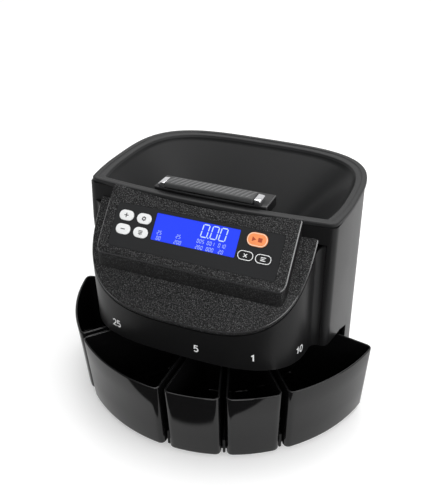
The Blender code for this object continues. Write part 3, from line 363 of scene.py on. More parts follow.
def bumped(tree, height, distance, strength=1.0):
    return put(tree, "Bump", {"Height": height, "Distance": distance, "Strength": strength}).outputs[0]


fine_detail, fine_roughness = 3.0, 0.65
slow_scale, slow_detail = 14.0, 4.0
peak_start, peak_end = 0.51, 0.74
# The pale flecks are painted glints, which fade on faces that do not face up.
least_painted_glint, painted_glint_tilt_start, painted_glint_tilt_end = 0.12, -0.1, 0.6
tone_low, tone_high = 0.86, 1.12
grain_height = 0.0004


def grain_group():
    """The skin of moulded plastic: a slow change of tone, fine grain with pale flecks that are painted glints,
    mostly on faces that face up, and its bump.
    """
    tree = bpy.data.node_groups.new("moulded_skin", "ShaderNodeTree")
    given, result = socketed(
        tree, {"Colour": "Color", "Fleck": "Color", "Fleck amount": "Float", "Grain scale": "Float",
               "Grain depth": "Float", "Gloss low": "Float", "Gloss high": "Float"},
        {"Colour": "Color", "Roughness": "Float", "Normal": "Vector"})
    place = put(tree, "TexCoord").outputs["Object"]
    grain = noise(tree, place, given["Grain scale"], fine_detail, fine_roughness)
    slow = noise(tree, place, slow_scale, slow_detail)
    # Painted glints: flecks at the grain's peaks, fewer as the face turns away from up.
    facing = put(tree, "SeparateXYZ", {0: put(tree, "NewGeometry").outputs["Normal"]})
    amount = computed(tree, "MULTIPLY", ranged(tree, grain, 0.0, 1.0, peak_start, peak_end),
                      given["Fleck amount"])
    amount = computed(tree, "MULTIPLY", amount, ranged(tree, facing.outputs["Z"], least_painted_glint, 1.0,
                                                       painted_glint_tilt_start, painted_glint_tilt_end))
    toned = scaled(tree, given["Colour"], ranged(tree, slow, tone_low, tone_high))
    for name, value in (("Colour", blended(tree, amount, toned, given["Fleck"])),
                        ("Roughness", ranged(tree, slow, given["Gloss low"], given["Gloss high"])),
                        ("Normal", bumped(tree, grain, grain_height, given["Grain depth"]))):
        tree.links.new(value, result.inputs[name])
    return tree


moulded_skin = grain_group()


def shade(tree, given):
    """Ends a material's tree in its shader."""
    shader = put(tree, "BsdfPrincipled", given)
    put(tree, "OutputMaterial", {"Surface": shader.outputs[0]})


def plastic(name, colour, gloss, grain=(900.0, 0.1), painted_glint=None, painted_glint_amount=0.0, specular=0.5):
    """A moulded plastic; gloss is the range of its roughness, grain its fineness per metre and its depth."""
    made = bpy.data.materials.new(name)
    tree = emptied(made)
    skin = tree.nodes.new("ShaderNodeGroup")
    skin.node_tree = moulded_skin
    for label, value in (("Colour", (*colour, 1)), ("Fleck", (*(painted_glint or colour), 1)),
                         ("Fleck amount", painted_glint_amount), ("Grain scale", grain[0]), ("Grain depth", grain[1]),
                         ("Gloss low", gloss[0]), ("Gloss high", gloss[1])):
        skin.inputs[label].default_value = value
    shade(tree, {"Specular IOR Level": specular, "Base Color": skin.outputs["Colour"],
                 "Roughness": skin.outputs["Roughness"], "Normal": skin.outputs["Normal"]})
    return made


def dress(name, mesh, finish, stands_for=(), body="machine", smooth=35, edge_finish=None):
    """A finished piece in the frame, which rides on its body and stands for the solids that it covers."""
    mesh.transform(to_frame)
    faces = [face.material_index for face in mesh.polygons]
    mesh.materials.clear()
    mesh.materials.append(finish)
    if edge_finish:
        mesh.materials.append(edge_finish)
        mesh.polygons.foreach_set("material_index", faces)
    mesh.shade_smooth()
    mesh.set_sharp_from_angle(angle=math.radians(smooth))
    made = stood(name, mesh)
    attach(made, body)
    if stands_for:
        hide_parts(*stands_for)


def repaint(finish, *names):
    """A solid whose own shape is right gets its finish."""
    for name in names:
        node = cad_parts[name]
        node.data.materials.clear()
        node.data.materials.append(finish)


housing_black = plastic("housing_black", (0.008, 0.008, 0.0083), (0.3, 0.38), (1500.0, 0.05), specular=0.25)
# The platform's bevel faces: glossier, and a lighter grey that is a painted highlight.
housing_edge = plastic("housing_edge", (0.03, 0.03, 0.031), (0.2, 0.3), (1500.0, 0.03), specular=0.6)
rubber_black = plastic("rubber_black", (0.022, 0.022, 0.022), (0.7, 0.85), (2400.0, 0.3))

rib_angles = (-40.4, 0.3, 20.4, 40.3)
rib_thickness, rib_height = 2.4, 16.5
rib_start, rib_end = 82.0, 166.9
rib_sink = 1.0
front = [at_angle(tray_sweep * (2 * share - 1), tray_radius) for share in shares(tray_steps)]
rear = [(x, y) for x, y in rim_plan(tray_inset) if y > rim_widest]
ribs = []
for angle in rib_angles:
    rib = block("rib", (-rib_thickness / 2, -rib_end, tray_top - rib_sink),
                (rib_thickness / 2, -rib_start, tray_top + rib_height))
    rib.transform(Matrix.Rotation(math.radians(angle), 4, "Z"))
    ribs.append(rib)
tray = worked(slab("tray", [front + rear], tray_low, tray_top), joins=ribs)
dress("tray", tray, housing_black, ["base_tray"])
repaint(rubber_black, "foot_front_left", "foot_front_right", "foot_back_left", "foot_back_right")

# Coin cups: five thin-walled trays of high-gloss black plastic, each a slice of one ring and a little wider at
# the top. Every edge is rounded as it leaves the mould, and each cup slides out towards its own side.
cup_spans = {
    "dollar_cup": (-80.0, -40.4),
    "quarter_cup": (-40.4, 0.3),
    "nickel_cup": (0.3, 20.4),
    "penny_cup": (20.4, 40.3),
    "dime_cup": (40.3, 80.0),
}
cup_inner, cup_low, cup_top = 80.0, 4.8, 85.5
cup_wall = 2.2
cup_side_gap, cup_corner, least_corner = 2.7, 7.0, 1.0
cup_foot_round = 3.0
foot_steps, lip_steps, floor_steps, wall_shares = 5, 6, 4, (0.35, 0.7)
cup_gloss = plastic("cup_gloss", (0.004, 0.004, 0.0042), (0.05, 0.1), (260.0, 0.012), specular=0.5)


def sector(inset, outer, low_angle, high_angle):
    """The plan of a cup, inset all round: a slice of a ring, with its sides beside the ribs."""
    inner, outer = cup_inner + inset, outer - inset
    gap, corner = cup_side_gap + inset, max(cup_corner - inset, least_corner)

    def past(angle, radius, way, distance=gap + corner):
        return angle + way * math.degrees(math.asin(distance / radius))

    def on_side(angle, radius, way):
        return at_angle(past(angle, radius, way, gap), radius)

    points = []
    steps = round(high_angle - low_angle)
    for near, radius, first_side, way in ((low_angle, outer, high_angle, 1), (high_angle, inner, low_angle, -1)):
        inward = -corner if radius == outer else corner
        first, last = past(near, radius, way), past(first_side, radius, -way)
        points += corner_points(on_side(near, radius + inward, way), on_side(near, radius, way),
                                at_angle(first, radius))
        points += [at_angle(first + (last - first) * i / steps, radius) for i in range(1, steps)]
        points += corner_points(at_angle(last, radius), on_side(first_side, radius, -way),
                                on_side(first_side, radius + inward, -way))
    return points


def quarter_turns(count, quarters=1):
    return [quarters * math.pi / 2 * share for share in shares(count)]


def cup_loops(low_angle, high_angle):
    """From the middle of the underside, round the foot, up, over the lip and down inside to the floor."""
    path = [(cup_foot_round, cup_low)]
    for turn in quarter_turns(foot_steps)[1:]:
        path.append((cup_foot_round * (1 - math.sin(turn)), cup_low + cup_foot_round * (1 - math.cos(turn))))
    path += [(0, cup_low + (cup_top - cup_low) * share) for share in wall_shares]
    for turn in quarter_turns(lip_steps, 2):
        path.append((cup_wall / 2 * (1 - math.cos(turn)), cup_top - cup_wall / 2 + cup_wall / 2 * math.sin(turn)))
    floor_z = cup_low + cup_wall
    path += [(cup_wall, floor_z + (cup_top - floor_z) * share) for share in reversed(wall_shares)]
    for turn in quarter_turns(floor_steps):
        path.append((cup_wall + cup_foot_round * (1 - math.cos(turn)),
                     floor_z + cup_foot_round * (1 - math.sin(turn))))
    loops = []
    for inset, z in path:
        share = (z - cup_low) / (cup_top - cup_low)
        outer = cup_foot_radius + (ring_radius - cup_foot_radius) * share
        loops.append(at_height(sector(inset, outer, low_angle, high_angle), z))
    return loops


for name, (low_angle, high_angle) in cup_spans.items():
    cup = loft(name + "_shell", cup_loops(low_angle, high_angle), ends=("low", "high"))
    dress(name + "_shell", cup, cup_gloss, [name], name, smooth=50)

# Body housing: one semi-gloss black moulding under the hopper's lip, open in front for the drum and arched over
# the cups. Its front leans back a little towards the top, and the inlet panel shows through the back.
body_low, body_knee, body_top = 4.8, 190.0, 230.7
body_half, body_back = 135.8, 105.5
body_corner_half, body_top_corner_half = 133.0, 132.3
body_face, body_top_face = -67.2, -64.0
body_corner, body_wall, body_flange = 8.0, 2.5, 8.5
slope_foot, slope_rise, drum_front = 136.7, 80.25 / 68.4, -135.6
slope_angle = math.atan(slope_rise)
drum_low, drum_half, drum_flare = 96.5, 116.8, 8.0
drum_centre, drum_power = -63.8, 3.09
drum_wall, cover_thick = 2.5, 2.5
cover_upright = cover_thick / math.cos(slope_angle)
arch = ((-159.75, -6), (-159.75, 96.5), (-60.35, 96.5), (-23.96, 88.9), (4.08, 75.2), (4.08, -6))
arch_reach, overrun, flange_corner = 180.0, 5.0, 2.0


def slope_z(y):
    return slope_foot + slope_rise * (y - drum_front)


loops = []
for z, half, face in ((body_low, body_corner_half, body_face), (body_knee, body_corner_half, body_face),
                      (body_top, body_top_corner_half, body_top_face)):
    loops.append(at_height(plan(body_half, half, lambda x, face=face: face, body_corner, body_back), z))
loops.append(at_height(rim_plan(body_flange, flange_corner), body_top))
from_side = Matrix(((0, 0, 1, 0), (1, 0, 0, 0), (0, 1, 0, 0), (0, 0, 0, 1)))
side_cut = slab("arch", [arch], -arch_reach, arch_reach)
side_cut.transform(from_side)
drum_opening = drum_half + drum_flare + touch
front_cut = block("front", (-drum_opening, body_face - overrun, drum_low - overrun),
                  (drum_opening, body_top_face + body_wall + overrun, slope_z(body_face) - cover_upright))
panel_half, panel_low, panel_high = 44.0, 22.0, 60.0
panel_cut = block("panel", (-panel_half, body_back - body_wall - overrun, panel_low),
                  (panel_half, body_back + overrun, panel_high))
body = worked(loft("body", loops), wall=body_wall, cuts=[side_cut, front_cut, panel_cut])
dress("body", body, housing_black, ["body_housing"], smooth=30)

# Hopper: a satin grey-black moulding whose stepped lip caps the body, with a bowl that runs down to the outlet.
# The walls are straight from the lip to the outlet, so a soft valley forms under each corner.
hopper_wall, rim_top = 2.2, 234.7
lip_profile = ((0, -3.7), (0, -1.4), (0.12, -0.8), (0.45, -0.3), (1.1, 0), (2.6, 0.0), (4.6, 0), (5.0, -0.12),
               (5.3, -0.5), (5.7, -0.92), (8.0, -1.1), (10.2, -1.25), (10.9, -1.6), (11.5, -2.5), (12.0, -4.07))
outlet_half_x, outlet_half_y, outlet_y, outlet_z = 46.0, 19.0, -31.0, 158.0
outlet_power, bowl_steps, bowl_bend = 4.0, 24, 3.0
hopper_grey = plastic("hopper_grey", (0.012, 0.0122, 0.0128), (0.42, 0.55), (1400.0, 0.12), specular=0.35)
# Below the lip the bowl takes a darker, less glossy copy of the same finish: painted shade inside the bowl.
bowl_black = plastic("bowl_black", (0.009, 0.0092, 0.0096), (0.3, 0.4), (1400.0, 0.12), specular=0.15)


def outlet_point(x, y):
    """The point of the outlet that a straight wall from this point of the lip runs down to."""
    turn = math.atan2((y - rim_widest) / (rim_back - rim_widest), x / rim_half)
    quarter = math.floor(turn / (math.pi / 2)) * math.pi / 2
    off = (turn - quarter) / (math.pi / 4) - 1
    turn = quarter + math.pi / 4 * (1 + math.copysign(abs(off) ** bowl_bend, off))
    across, along = math.cos(turn), math.sin(turn)
    return (outlet_half_x * math.copysign(abs(across) ** (2 / outlet_power), across),
            outlet_y + outlet_half_y * math.copysign(abs(along) ** (2 / outlet_power), along))


loops = [at_height(rim_plan(inset, max(rim_corner - inset, flange_corner)), rim_top + height)
         for inset, height in lip_profile]
last = loops[-1]
feet = [outlet_point(x, y) for x, y, z in last]
for share in shares(bowl_steps)[1:]:
    loops.append([(x + (fx - x) * share, y + (fy - y) * share, z + (outlet_z - z) * share)
                  for (x, y, z), (fx, fy) in zip(last, feet)])
bowl = worked(loft("bowl", loops), wall=hopper_wall)
# Faces below the lip take that darker copy, as painted shade.
for face in bowl.polygons:
    face.material_index = int(face.center.z < last[0][2])
dress("bowl", bowl, hopper_grey, ["hopper"], smooth=40, edge_finish=bowl_black)

# Drum wall: the smooth skirt round the sorting plate, over the cups. Its plan is squarer than a circle, and it
# flares out where it meets the body's face.
drum_gather = 1.4
flare_steps = 14


def drum_plan(back_y, count=160):
    """The drum's plan from its left side round the front to its right side, back to the line back_y."""
    depth = drum_centre - drum_front
    reach = math.acos(((drum_centre - back_y) / depth) ** (drum_power / 2))
    points = []
    for share in shares(count):
        aside = 2 * share - 1
        turn = reach * math.copysign(abs(aside) ** drum_gather, aside)
        x = drum_half * math.copysign(abs(math.sin(turn)) ** (2 / drum_power), turn)
        points.append((x, drum_centre - depth * math.cos(turn) ** (2 / drum_power)))
    return points


flare = []
for turn in quarter_turns(flare_steps)[1:]:
    flare.append((drum_half + drum_flare * (1 - math.cos(turn)), body_face - drum_flare * (1 - math.sin(turn))))
wall_line = [(-x, y) for x, y in reversed(flare)] + drum_plan(body_face - drum_flare) + flare
under = cover_upright + touch / math.cos(slope_angle)
drum_loops = [at_height(wall_line, drum_low), [(x, y, slope_z(y) - under) for x, y in wall_line]]
drum = worked(loft("drum", drum_loops, cyclic=False), wall=drum_wall)
dress("drum", drum, housing_black, ["drum_wall"], smooth=40)

# Sorter cover: the sloped, coarse-grained moulded lid of the drum, its edge glossier and painted lighter as a
# highlight.
# It runs up under the console to the body's face.
# Its pale flecks are painted glints.
grained_black = plastic("grained_black", (0.005, 0.005, 0.0052), (0.42, 0.6), (1120.0, 0.6),
                        painted_glint=(0.27, 0.27, 0.275), painted_glint_amount=0.8, specular=0.22)
# The cover's and console's bevel faces: glossier, and a lighter grey that is a painted highlight.
worn_edge = plastic("worn_edge", (0.02, 0.02, 0.021), (0.14, 0.2), (1150.0, 0.03), specular=1.0)


def sloped(mesh):
    """Leans a flat piece up the slope, its sides staying upright."""
    mesh.transform(Matrix(((1, 0, 0, 0), (0, 1, 0, 0), (0, slope_rise, 1, slope_z(0)), (0, 0, 0, 1))))
    return mesh


cover_back, cover_edge = -65.4, 0.8
lid = sloped(slab("cover", [drum_plan(cover_back)], -cover_upright, 0))
dress("cover", worked(lid, edge=cover_edge, edge_steps=1, edge_slot=1), grained_black,
      ["sorter_cover"], edge_finish=worn_edge)

# Console: a raised box on the slope, of the same grained plastic, with crisp edges that catch the light.
# The overlay lies in a shallow recess in its top, and the keys and the display come up through it.
console_half, console_front, console_back = 100.6, -112.0, -65.76
console_rise, console_corner, console_wall = 17.5, 8.0, 2.2
console_top = console_rise * math.cos(slope_angle)
console_set_back = console_front - drum_front
overlay_half, overlay_length, overlay_corner, overlay_thick = 89.0, 44.8, 4.0, 0.9
window_corner, console_edge = 1.3, 0.9


def up_console(distance):
    return (console_set_back + console_top * math.sin(slope_angle)) / math.cos(slope_angle) + distance


overlay_low = up_console(8.8)
display_half, display_low, display_high = 44.5, up_console(23.1), up_console(50.3)
on_slope = Matrix.Translation((0, drum_front, slope_foot)) @ Matrix.Rotation(slope_angle, 4, "X")


def console_plan(inset, steps=24):
    half, front = console_half - inset, console_front + inset
    corner = console_corner - inset / 2
    across = [half * (1 - 2 * share) for share in shares(steps)]
    back = [(x, min(front_edge(x) - touch, console_back) - inset) for x in across]
    left = corner_points((-half, front + corner), (-half, front), (-half + corner, front))
    right = corner_points((half - corner, front), (half, front), (half, front + corner))
    return left + right + back


def rounded_rectangle(half, low, high, corner, count=6):
    points = []
    for x, y, back_in, out in ((half, low, (-1, 0), (0, 1)), (half, high, (0, -1), (-1, 0)),
                               (-half, high, (1, 0), (0, -1)), (-half, low, (0, 1), (1, 0))):
        start = (x + back_in[0] * corner, y + back_in[1] * corner)
        end = (x + out[0] * corner, y + out[1] * corner)
        points += corner_points(start, (x, y), end, count)
    return points


def pill(x, row, length, width, grow=0.0, count=14):
    """A key's outline: a bar with round ends, up the console at its row."""
    radius = width / 2 + grow
    reach = length / 2 + grow - radius
    points = []
    for side in (1, -1):
        for share in shares(count):
            turn = math.pi * (share - 0.5)
            points.append((x + side * (reach + radius * math.cos(turn)),
                           up_console(row) + side * radius * math.sin(turn)))
    return points


white_size, start_size, dark_size = (16.0, 10.5), (21.0, 13.5), (16.5, 9.5)
keys = {
    "key_plus": (-76.6, 41.6, white_size),
    "key_set": (-56.7, 41.6, white_size),
    "key_minus": (-76.6, 27.3, white_size),
    "key_batch": (-56.7, 27.3, white_size),
    "key_start_stop": (62.9, 44.2, start_size),
    "key_clear": (55.3, 27.3, dark_size),
    "key_report": (73.2, 27.3, dark_size),
}


def slope_slab(name, outlines, low, high):
    made = slab(name, outlines, low, high)
    made.transform(on_slope)
    return made


# The console's bevels take the glossier, lighter edge finish: a painted highlight.
case = worked(sloped(slab("console", [console_plan(0)], touch, console_rise)), edge=console_edge, edge_steps=1,
              edge_angle=30, edge_slot=1)
hollow = sloped(slab("hollow", [console_plan(console_wall)], -overrun,
                     console_rise - console_wall / math.cos(slope_angle)))
recess = slope_slab("recess", [rounded_rectangle(overlay_half + touch, overlay_low - touch,
                                                 overlay_low + overlay_length + touch, overlay_corner + touch)],
                    console_top - overlay_thick - touch, console_top + overrun)
openings = [rounded_rectangle(display_half + touch, display_low - touch, display_high + touch, window_corner, 2)]
openings += [pill(x, row, *size, touch) for x, row, size in keys.values()]
holes = [slope_slab("hole", [opening], console_top - overrun, console_top) for opening in openings]
dress("console", worked(case, cuts=[hollow, recess] + holes), grained_black,
      ["console_housing"], smooth=30, edge_finish=worn_edge)

# Overlay: a glossy black film over the console's recess, cut out round the display and the keys.
# Its edge is die-cut, and it has the faint waviness of a laminated film.
film_black = plastic("film_black", (0.021, 0.0215, 0.0225), (0.09, 0.16), (140.0, 0.03), specular=0.5)
outline = rounded_rectangle(overlay_half, overlay_low, overlay_low + overlay_length, overlay_corner)
film = slope_slab("overlay", [outline] + openings, console_top - overlay_thick, console_top)
dress("overlay", film, film_black, ["control_overlay"])

# Display: a blue backlit panel under a clear pane. Its pale segments show amounts and counts, as numbers only.
# Every digit is made of one segment shape, set by Geometry Nodes at a list of points with a turn and a size.


def made_real(tree, place, finish, result):
    """Ends a tree of repeated pieces: they become real, and get their finish."""
    real = put(tree, "GeometryNodeRealizeInstances", {0: place.outputs[0]})
    paint = put(tree, "GeometryNodeSetMaterial", {"Geometry": real.outputs[0], "Material": finish})
    tree.links.new(paint.outputs[0], result.inputs[0])
    return tree


def repeated_tree():
    """Puts a piece at each point, turned and sized by the point's own values."""
    tree = bpy.data.node_groups.new("repeated_piece", "GeometryNodeTree")
    given, result = socketed(tree, {"Points": "Geometry", "Piece": "Object", "Size": "Float",
                                    "Finish": "Material"}, {"Mesh": "Geometry"})
    piece = put(tree, "GeometryNodeObjectInfo", {"Object": given["Piece"]})
    turn, grow = [put(tree, "GeometryNodeInputNamedAttribute", {"Name": name},
                      data_type="FLOAT_VECTOR").outputs["Attribute"] for name in ("turn", "grow")]
    place = put(tree, "GeometryNodeInstanceOnPoints", {
        "Points": given["Points"], "Instance": piece.outputs["Geometry"], "Rotation": turn,
        "Scale": scaled(tree, grow, given["Size"])})
    return made_real(tree, place, given["Finish"], result)


def grown(name, mesh, tree, values):
    """What a tree makes of a mesh, as a plain mesh."""
    holder = stood(name, mesh)
    step = holder.modifiers.new(name, "NODES")
    step.node_group = tree
    sockets = {item.name: item.identifier for item in tree.interface.items_tree if item.in_out == "INPUT"}
    for label, value in values.items():
        step[sockets[label]] = value
    return settled(holder)


repeated_piece = repeated_tree()


def repeated(name, piece, places, finish):
    """A piece at each place, which gives its point, its turn in radians and its growth in each direction."""
    points = bpy.data.meshes.new(name)
    points.from_pydata([point for point, turn, grow in places], [], [])
    for label, index in (("turn", 1), ("grow", 2)):
        values = points.attributes.new(label, "FLOAT_VECTOR", "POINT")
        values.data.foreach_set("vector", [v for place in places for v in place[index]])
    model = stood(name + "_piece", piece)
    made = grown(name, points, repeated_piece, {"Piece": model, "Size": 1.0, "Finish": finish})
    bpy.data.objects.remove(model)
    return made


display_gloss, display_light, display_tone = 0.12, 0.85, 0.25
cloud_scale, cell_scale, cloud_share = 22.0, 2600.0, 0.8


def glow(name, colour, edge_colour):
    """A lit surface under a clear pane, its colour mixed towards a deeper one in soft clouds and a fine cell
    pattern.
    """
    made, tree, place = blank(name)
    cells = put(tree, "TexVoronoi", {"Vector": place, "Scale": cell_scale})
    amount = computed(tree, "MULTIPLY", noise(tree, place, cloud_scale, 2.0), cloud_share)
    amount = computed(tree, "MULTIPLY", amount, cells.outputs["Distance"])
    light = blended(tree, amount, (*colour, 1), (*edge_colour, 1))
    shade(tree, {"Roughness": display_gloss, "Emission Strength": display_light, "Emission Color": light,
                 "Base Color": scaled(tree, light, display_tone)})
    return made


display_sink, display_thick, display_corner = 0.45, 0.6, 1.0
display_blue = glow("display_blue", (0.024, 0.062, 0.95), (0.016, 0.04, 0.72))
display_pale = glow("display_pale", (0.62, 0.78, 1.0), (0.5, 0.68, 1.0))
repaint(display_blue, "display_window")
pane_top = console_top - display_sink
pane = slope_slab("display", [rounded_rectangle(display_half, display_low, display_high, display_corner, 3)],
                  pane_top - display_thick, pane_top)
dress("display", pane, display_blue, ["display_window"])

tip, bevel, segment_rise = 0.5, 0.1, 0.05
outline = [(-tip, 0), (bevel - tip, -bevel), (tip - bevel, -bevel), (tip, 0), (tip - bevel, bevel),
           (bevel - tip, bevel)]
segment = slab("segment", [outline], -segment_rise, segment_rise)
segment_places = {"a": (0, 1, 0), "b": (0.5, 0.5, 1), "c": (0.5, -0.5, 1), "d": (0, -1, 0), "e": (-0.5, -0.5, 1),
                  "f": (-0.5, 0.5, 1), "g": (0, 0, 0)}
lit_segments = {"0": "abcdef", "1": "bc", "2": "abdeg", "5": "acdfg"}
digit_slant = 0.08
upright_length, level_length, segment_broad = 0.47, 0.9, 0.42
point_gap, point_step, point_wide, point_broad = 0.16, 0.1, 0.1, 0.45


def digits(text, x, row, height, width, pitch):
    """The places of the segments of a number that starts at x, its middle at that row of the console."""
    places = []
    for sign in text:
        if sign == ".":
            places.append(((x - pitch * point_gap, up_console(row) - height / 2, 0), (0, 0, 0),
                           (height * point_wide, height * point_broad, 1)))
            x += pitch * point_step
            continue
        for part in lit_segments[sign]:
            across, up, upright = segment_places[part]
            place_x = x + width / 2 + across * width + up * height / 2 * digit_slant
            places.append(((place_x, up_console(row) + up * height / 2, 0),
                           (0, 0, math.pi / 2 - digit_slant if upright else 0),
                           (height * upright_length if upright else width * level_length,
                            height * segment_broad, 1)))
        x += pitch
    return places


shown = digits("0.00", 6.4, 42.2, 12.4, 6.4, 9.0)
for number, x, row in (("25", -39.2, 31.4), ("00", -38.8, 25.9), ("25", -18.4, 31.4), ("200", -19.2, 25.7),
                       ("005", 3.9, 31.5), ("001", 14.6, 31.4), ("010", 26.3, 31.4), ("200", 3.9, 25.5),
                       ("000", 15.1, 25.5), ("20", 28.0, 25.5)):
    shown += digits(number, x, row, 3.5, 1.6, 2.75)
figures = repeated("figures", segment, shown, display_pale)
figures.transform(on_slope @ Matrix.Translation((0, 0, pane_top)))
dress("figures", figures, display_pale)

# Keys: satin caps with a softly crowned top, four white ones, a large orange one with a pale rim, and two
# black ones with a white ring. Their signs are printed on the crown.
key_proud, key_depth, key_crown = 0.7, 3.6, 0.12
key_gloss, key_grain = (0.38, 0.5), (900.0, 0.05)
print_gloss, print_grain = (0.4, 0.55), (1800.0, 0.1)
key_white = plastic("key_white", (0.84, 0.85, 0.85), key_gloss, key_grain)
key_orange = plastic("key_orange", (0.9, 0.29, 0.10), key_gloss, key_grain)
key_black = plastic("key_black", (0.012, 0.012, 0.012), (0.3, 0.42), key_grain)
print_white = plastic("print_white", (0.86, 0.87, 0.87), print_gloss, print_grain)
print_black = plastic("print_black", (0.02, 0.02, 0.022), print_gloss, print_grain)
print_pale = plastic("print_pale", (0.9, 0.62, 0.44), print_gloss, print_grain)
print_rust = plastic("print_rust", (0.42, 0.06, 0.02), print_gloss, print_grain)


def key_cap(name, x, row, size):
    """A cap whose top edge rolls over, with a slight crown to its middle."""
    top = console_top + key_proud
    path = ((0, key_depth), (0, 0.6), (-0.06, 0.36), (-0.22, 0.18), (-0.5, key_crown), (-1.3, 0.04), (-2.6, 0))
    made = loft(name, [at_height(pill(x, row, *size, grow), top - down) for grow, down in path],
                ends=("low", "high"))
    made.transform(on_slope)
    return made


def bar(x, y, length, width):
    return [(x + a * length / 2, y + b * width / 2) for a, b in ((-1, -1), (1, -1), (1, 1), (-1, 1))]


def disc(radius, count=20):
    return [(radius * math.cos(turn), radius * math.sin(turn)) for turn in quarter_turns(count, 4)[:-1]]


def cross(length, width, turn=0.0):
    a, b = length / 2, width / 2
    corners = [(-b, -a), (b, -a), (b, -b), (a, -b), (a, b), (b, b), (b, a), (-b, a), (-b, b), (-a, b), (-a, -b),
               (-b, -b)]
    cos, sin = math.cos(turn), math.sin(turn)
    return [(x * cos - y * sin, x * sin + y * cos) for x, y in corners]


def cog(radius, root=0.74, teeth=8):
    points = []
    for i in range(teeth * 4):
        reach = radius if i % 4 < 2 else radius * root
        turn = 2 * math.pi * (i - 0.5) / (teeth * 4)
        points.append((reach * math.cos(turn), reach * math.sin(turn)))
    return points


signs = {
    "key_plus": ([cross(4.6, 0.95)], print_black),
    "key_minus": ([bar(0, 0, 4.6, 0.95)], print_black),
    "key_set": ([cog(2.5), disc(1.0)], print_black),
    "key_batch": ([bar(0, y, 4.4, 0.8) for y in (1.7, 0.25, -1.2)] + [bar(0, -2.3, 2.0, 0.45)], print_black),
    "key_start_stop": ([[(-5.0, -2.3), (-1.0, 0), (-5.0, 2.3)], bar(3.0, 0, 4.0, 4.0)], print_rust),
    "key_clear": ([cross(4.6, 0.8, math.pi / 4)], print_white),
    "key_report": ([bar(0, 1.5, 5.2, 0.7), bar(-0.7, 0, 3.8, 0.7), bar(0, -1.5, 5.2, 0.7)], print_white),
}
key_slots = {"key_start_stop": (key_orange, "key_orange"), "key_clear": (key_black, "key_black"),
             "key_report": (key_black, "key_black")}
rings = {"key_start_stop": (print_pale, -0.35, -1.25), "key_clear": (print_white, -0.3, -1.0),
         "key_report": (print_white, -0.3, -1.0)}
print_rise, ring_sink, ring_low = 0.05, 0.02, 0.3
for name, (x, row, size) in keys.items():
    finish, slot = key_slots.get(name, (key_white, "key_white"))
    dress(name + "_cap", key_cap(name + "_cap", x, row, size), finish, [name], name)
    shapes, ink = signs[name]
    top = console_top + key_proud
    mark = slope_slab(name + "_sign", [[(x + px, up_console(row) + py) for px, py in shape] for shape in shapes],
                      top - print_rise, top + print_rise)
    dress(name + "_sign", mark, ink, body=name)
    if name in rings:
        ink, outer, inner = rings[name]
        ring = slope_slab(name + "_ring", [pill(x, row, *size, outer), pill(x, row, *size, inner)],
                          top - ring_low, top - ring_sink)
        dress(name + "_ring", ring, ink, body=name)

# Coin numbers: printed in white low on the drum, one over each cup, and bent to its wall.
# Each figure is a stroke of even width just clear of the plastic.
number_height, number_clear = 7.3, 0.09
number_places = {"25": (-72.0, 111.5), "5": (20.5, 111.2), "1": (77.2, 111.7), "10": (113.5, 109.5)}
walk = drum_plan(body_face - drum_flare, 1200)
along = [0.0]
for (ax, ay), (bx, by) in zip(walk, walk[1:]):
    along.append(along[-1] + math.hypot(bx - ax, by - ay))


def on_drum(distance, clear):
    """The point of the drum's wall that far along its plan, and clear of it."""
    i = next(i for i, walked in enumerate(along) if walked > distance) - 1
    (ax, ay), (bx, by) = walk[i], walk[i + 1]
    step = along[i + 1] - along[i]
    share = (distance - along[i]) / step
    out = Vector((by - ay, ax - bx)) / step
    return ax + (bx - ax) * share + out.x * clear, ay + (by - ay) * share + out.y * clear


def stroke(points, width):
    """The two sides of a stroke of even width along a path, with mitred bends."""
    sides = []
    for i, (x, y) in enumerate(points):
        before = Vector(points[max(i - 1, 0)])
        after = Vector(points[min(i + 1, len(points) - 1)])
        here = Vector((x, y))
        first = (here - before).normalized() if i else (after - here).normalized()
        last = (after - here).normalized() if i < len(points) - 1 else first
        middle = (first + last).normalized()
        aside = Vector((-middle.y, middle.x)) * (width / 2 / max(middle.dot(first), 0.5))
        sides.append((here + aside, here - aside))
    return sides


def bend(x, y, across, up, start, end, count=14):
    """An arc of an ellipse; angles in degrees from the right, turning left."""
    turns = [math.radians(start + (end - start) * share) for share in shares(count)]
    return [(x + across * math.cos(turn), y + up * math.sin(turn)) for turn in turns]


figure_width, figure_stroke, figure_gap, figure_step = 0.56, 0.19, 0.22, 0.12
figure_paths = {
    "0": bend(0.28, 0.5, 0.28, 0.5, 90, 450, 28),
    "1": [(0.1, 0.8), (0.36, 1.0), (0.36, 0.0)],
    "2": bend(0.28, 0.73, 0.27, 0.27, 170, -30, 12) + [(0.0, 0.0), (0.58, 0.0)],
    "5": [(0.54, 1.0), (0.1, 1.0), (0.06, 0.54)] + bend(0.27, 0.31, 0.29, 0.31, 125, -150, 16),
}


def printed(text, height):
    """A line of figures as a flat mesh about its own middle."""
    work = bmesh.new()
    length = len(text) * figure_width + (len(text) - 1) * figure_gap
    for place, figure in enumerate(text):
        left = place * (figure_width + figure_gap) - length / 2
        fine = []
        path = figure_paths[figure]
        for (ax, ay), (bx, by) in zip(path, path[1:]):
            steps = max(1, round(math.hypot(bx - ax, by - ay) / figure_step))
            fine += [(ax + (bx - ax) * i / steps, ay + (by - ay) * i / steps) for i in range(steps)]
        sides = stroke(fine + [path[-1]], figure_stroke)
        rows = [[work.verts.new(((point.x + left) * height, (point.y - 0.5) * height, 0)) for point in side]
                for side in sides]
        for lower, upper in zip(rows, rows[1:]):
            work.faces.new((lower[0], lower[1], upper[1], upper[0]))
    bmesh.ops.recalc_face_normals(work, faces=work.faces)
    return finished(work, text)


for text, (x, z) in number_places.items():
    start = min((i for i in range(len(walk)) if walk[i][1] < drum_centre), key=lambda i: abs(walk[i][0] - x))
    number = printed(text, number_height)
    for vertex in number.vertices:
        px, py = on_drum(along[start] + vertex.co.x, number_clear)
        vertex.co = (px, py, z + vertex.co.y)
    dress("number_" + text, number, print_white)

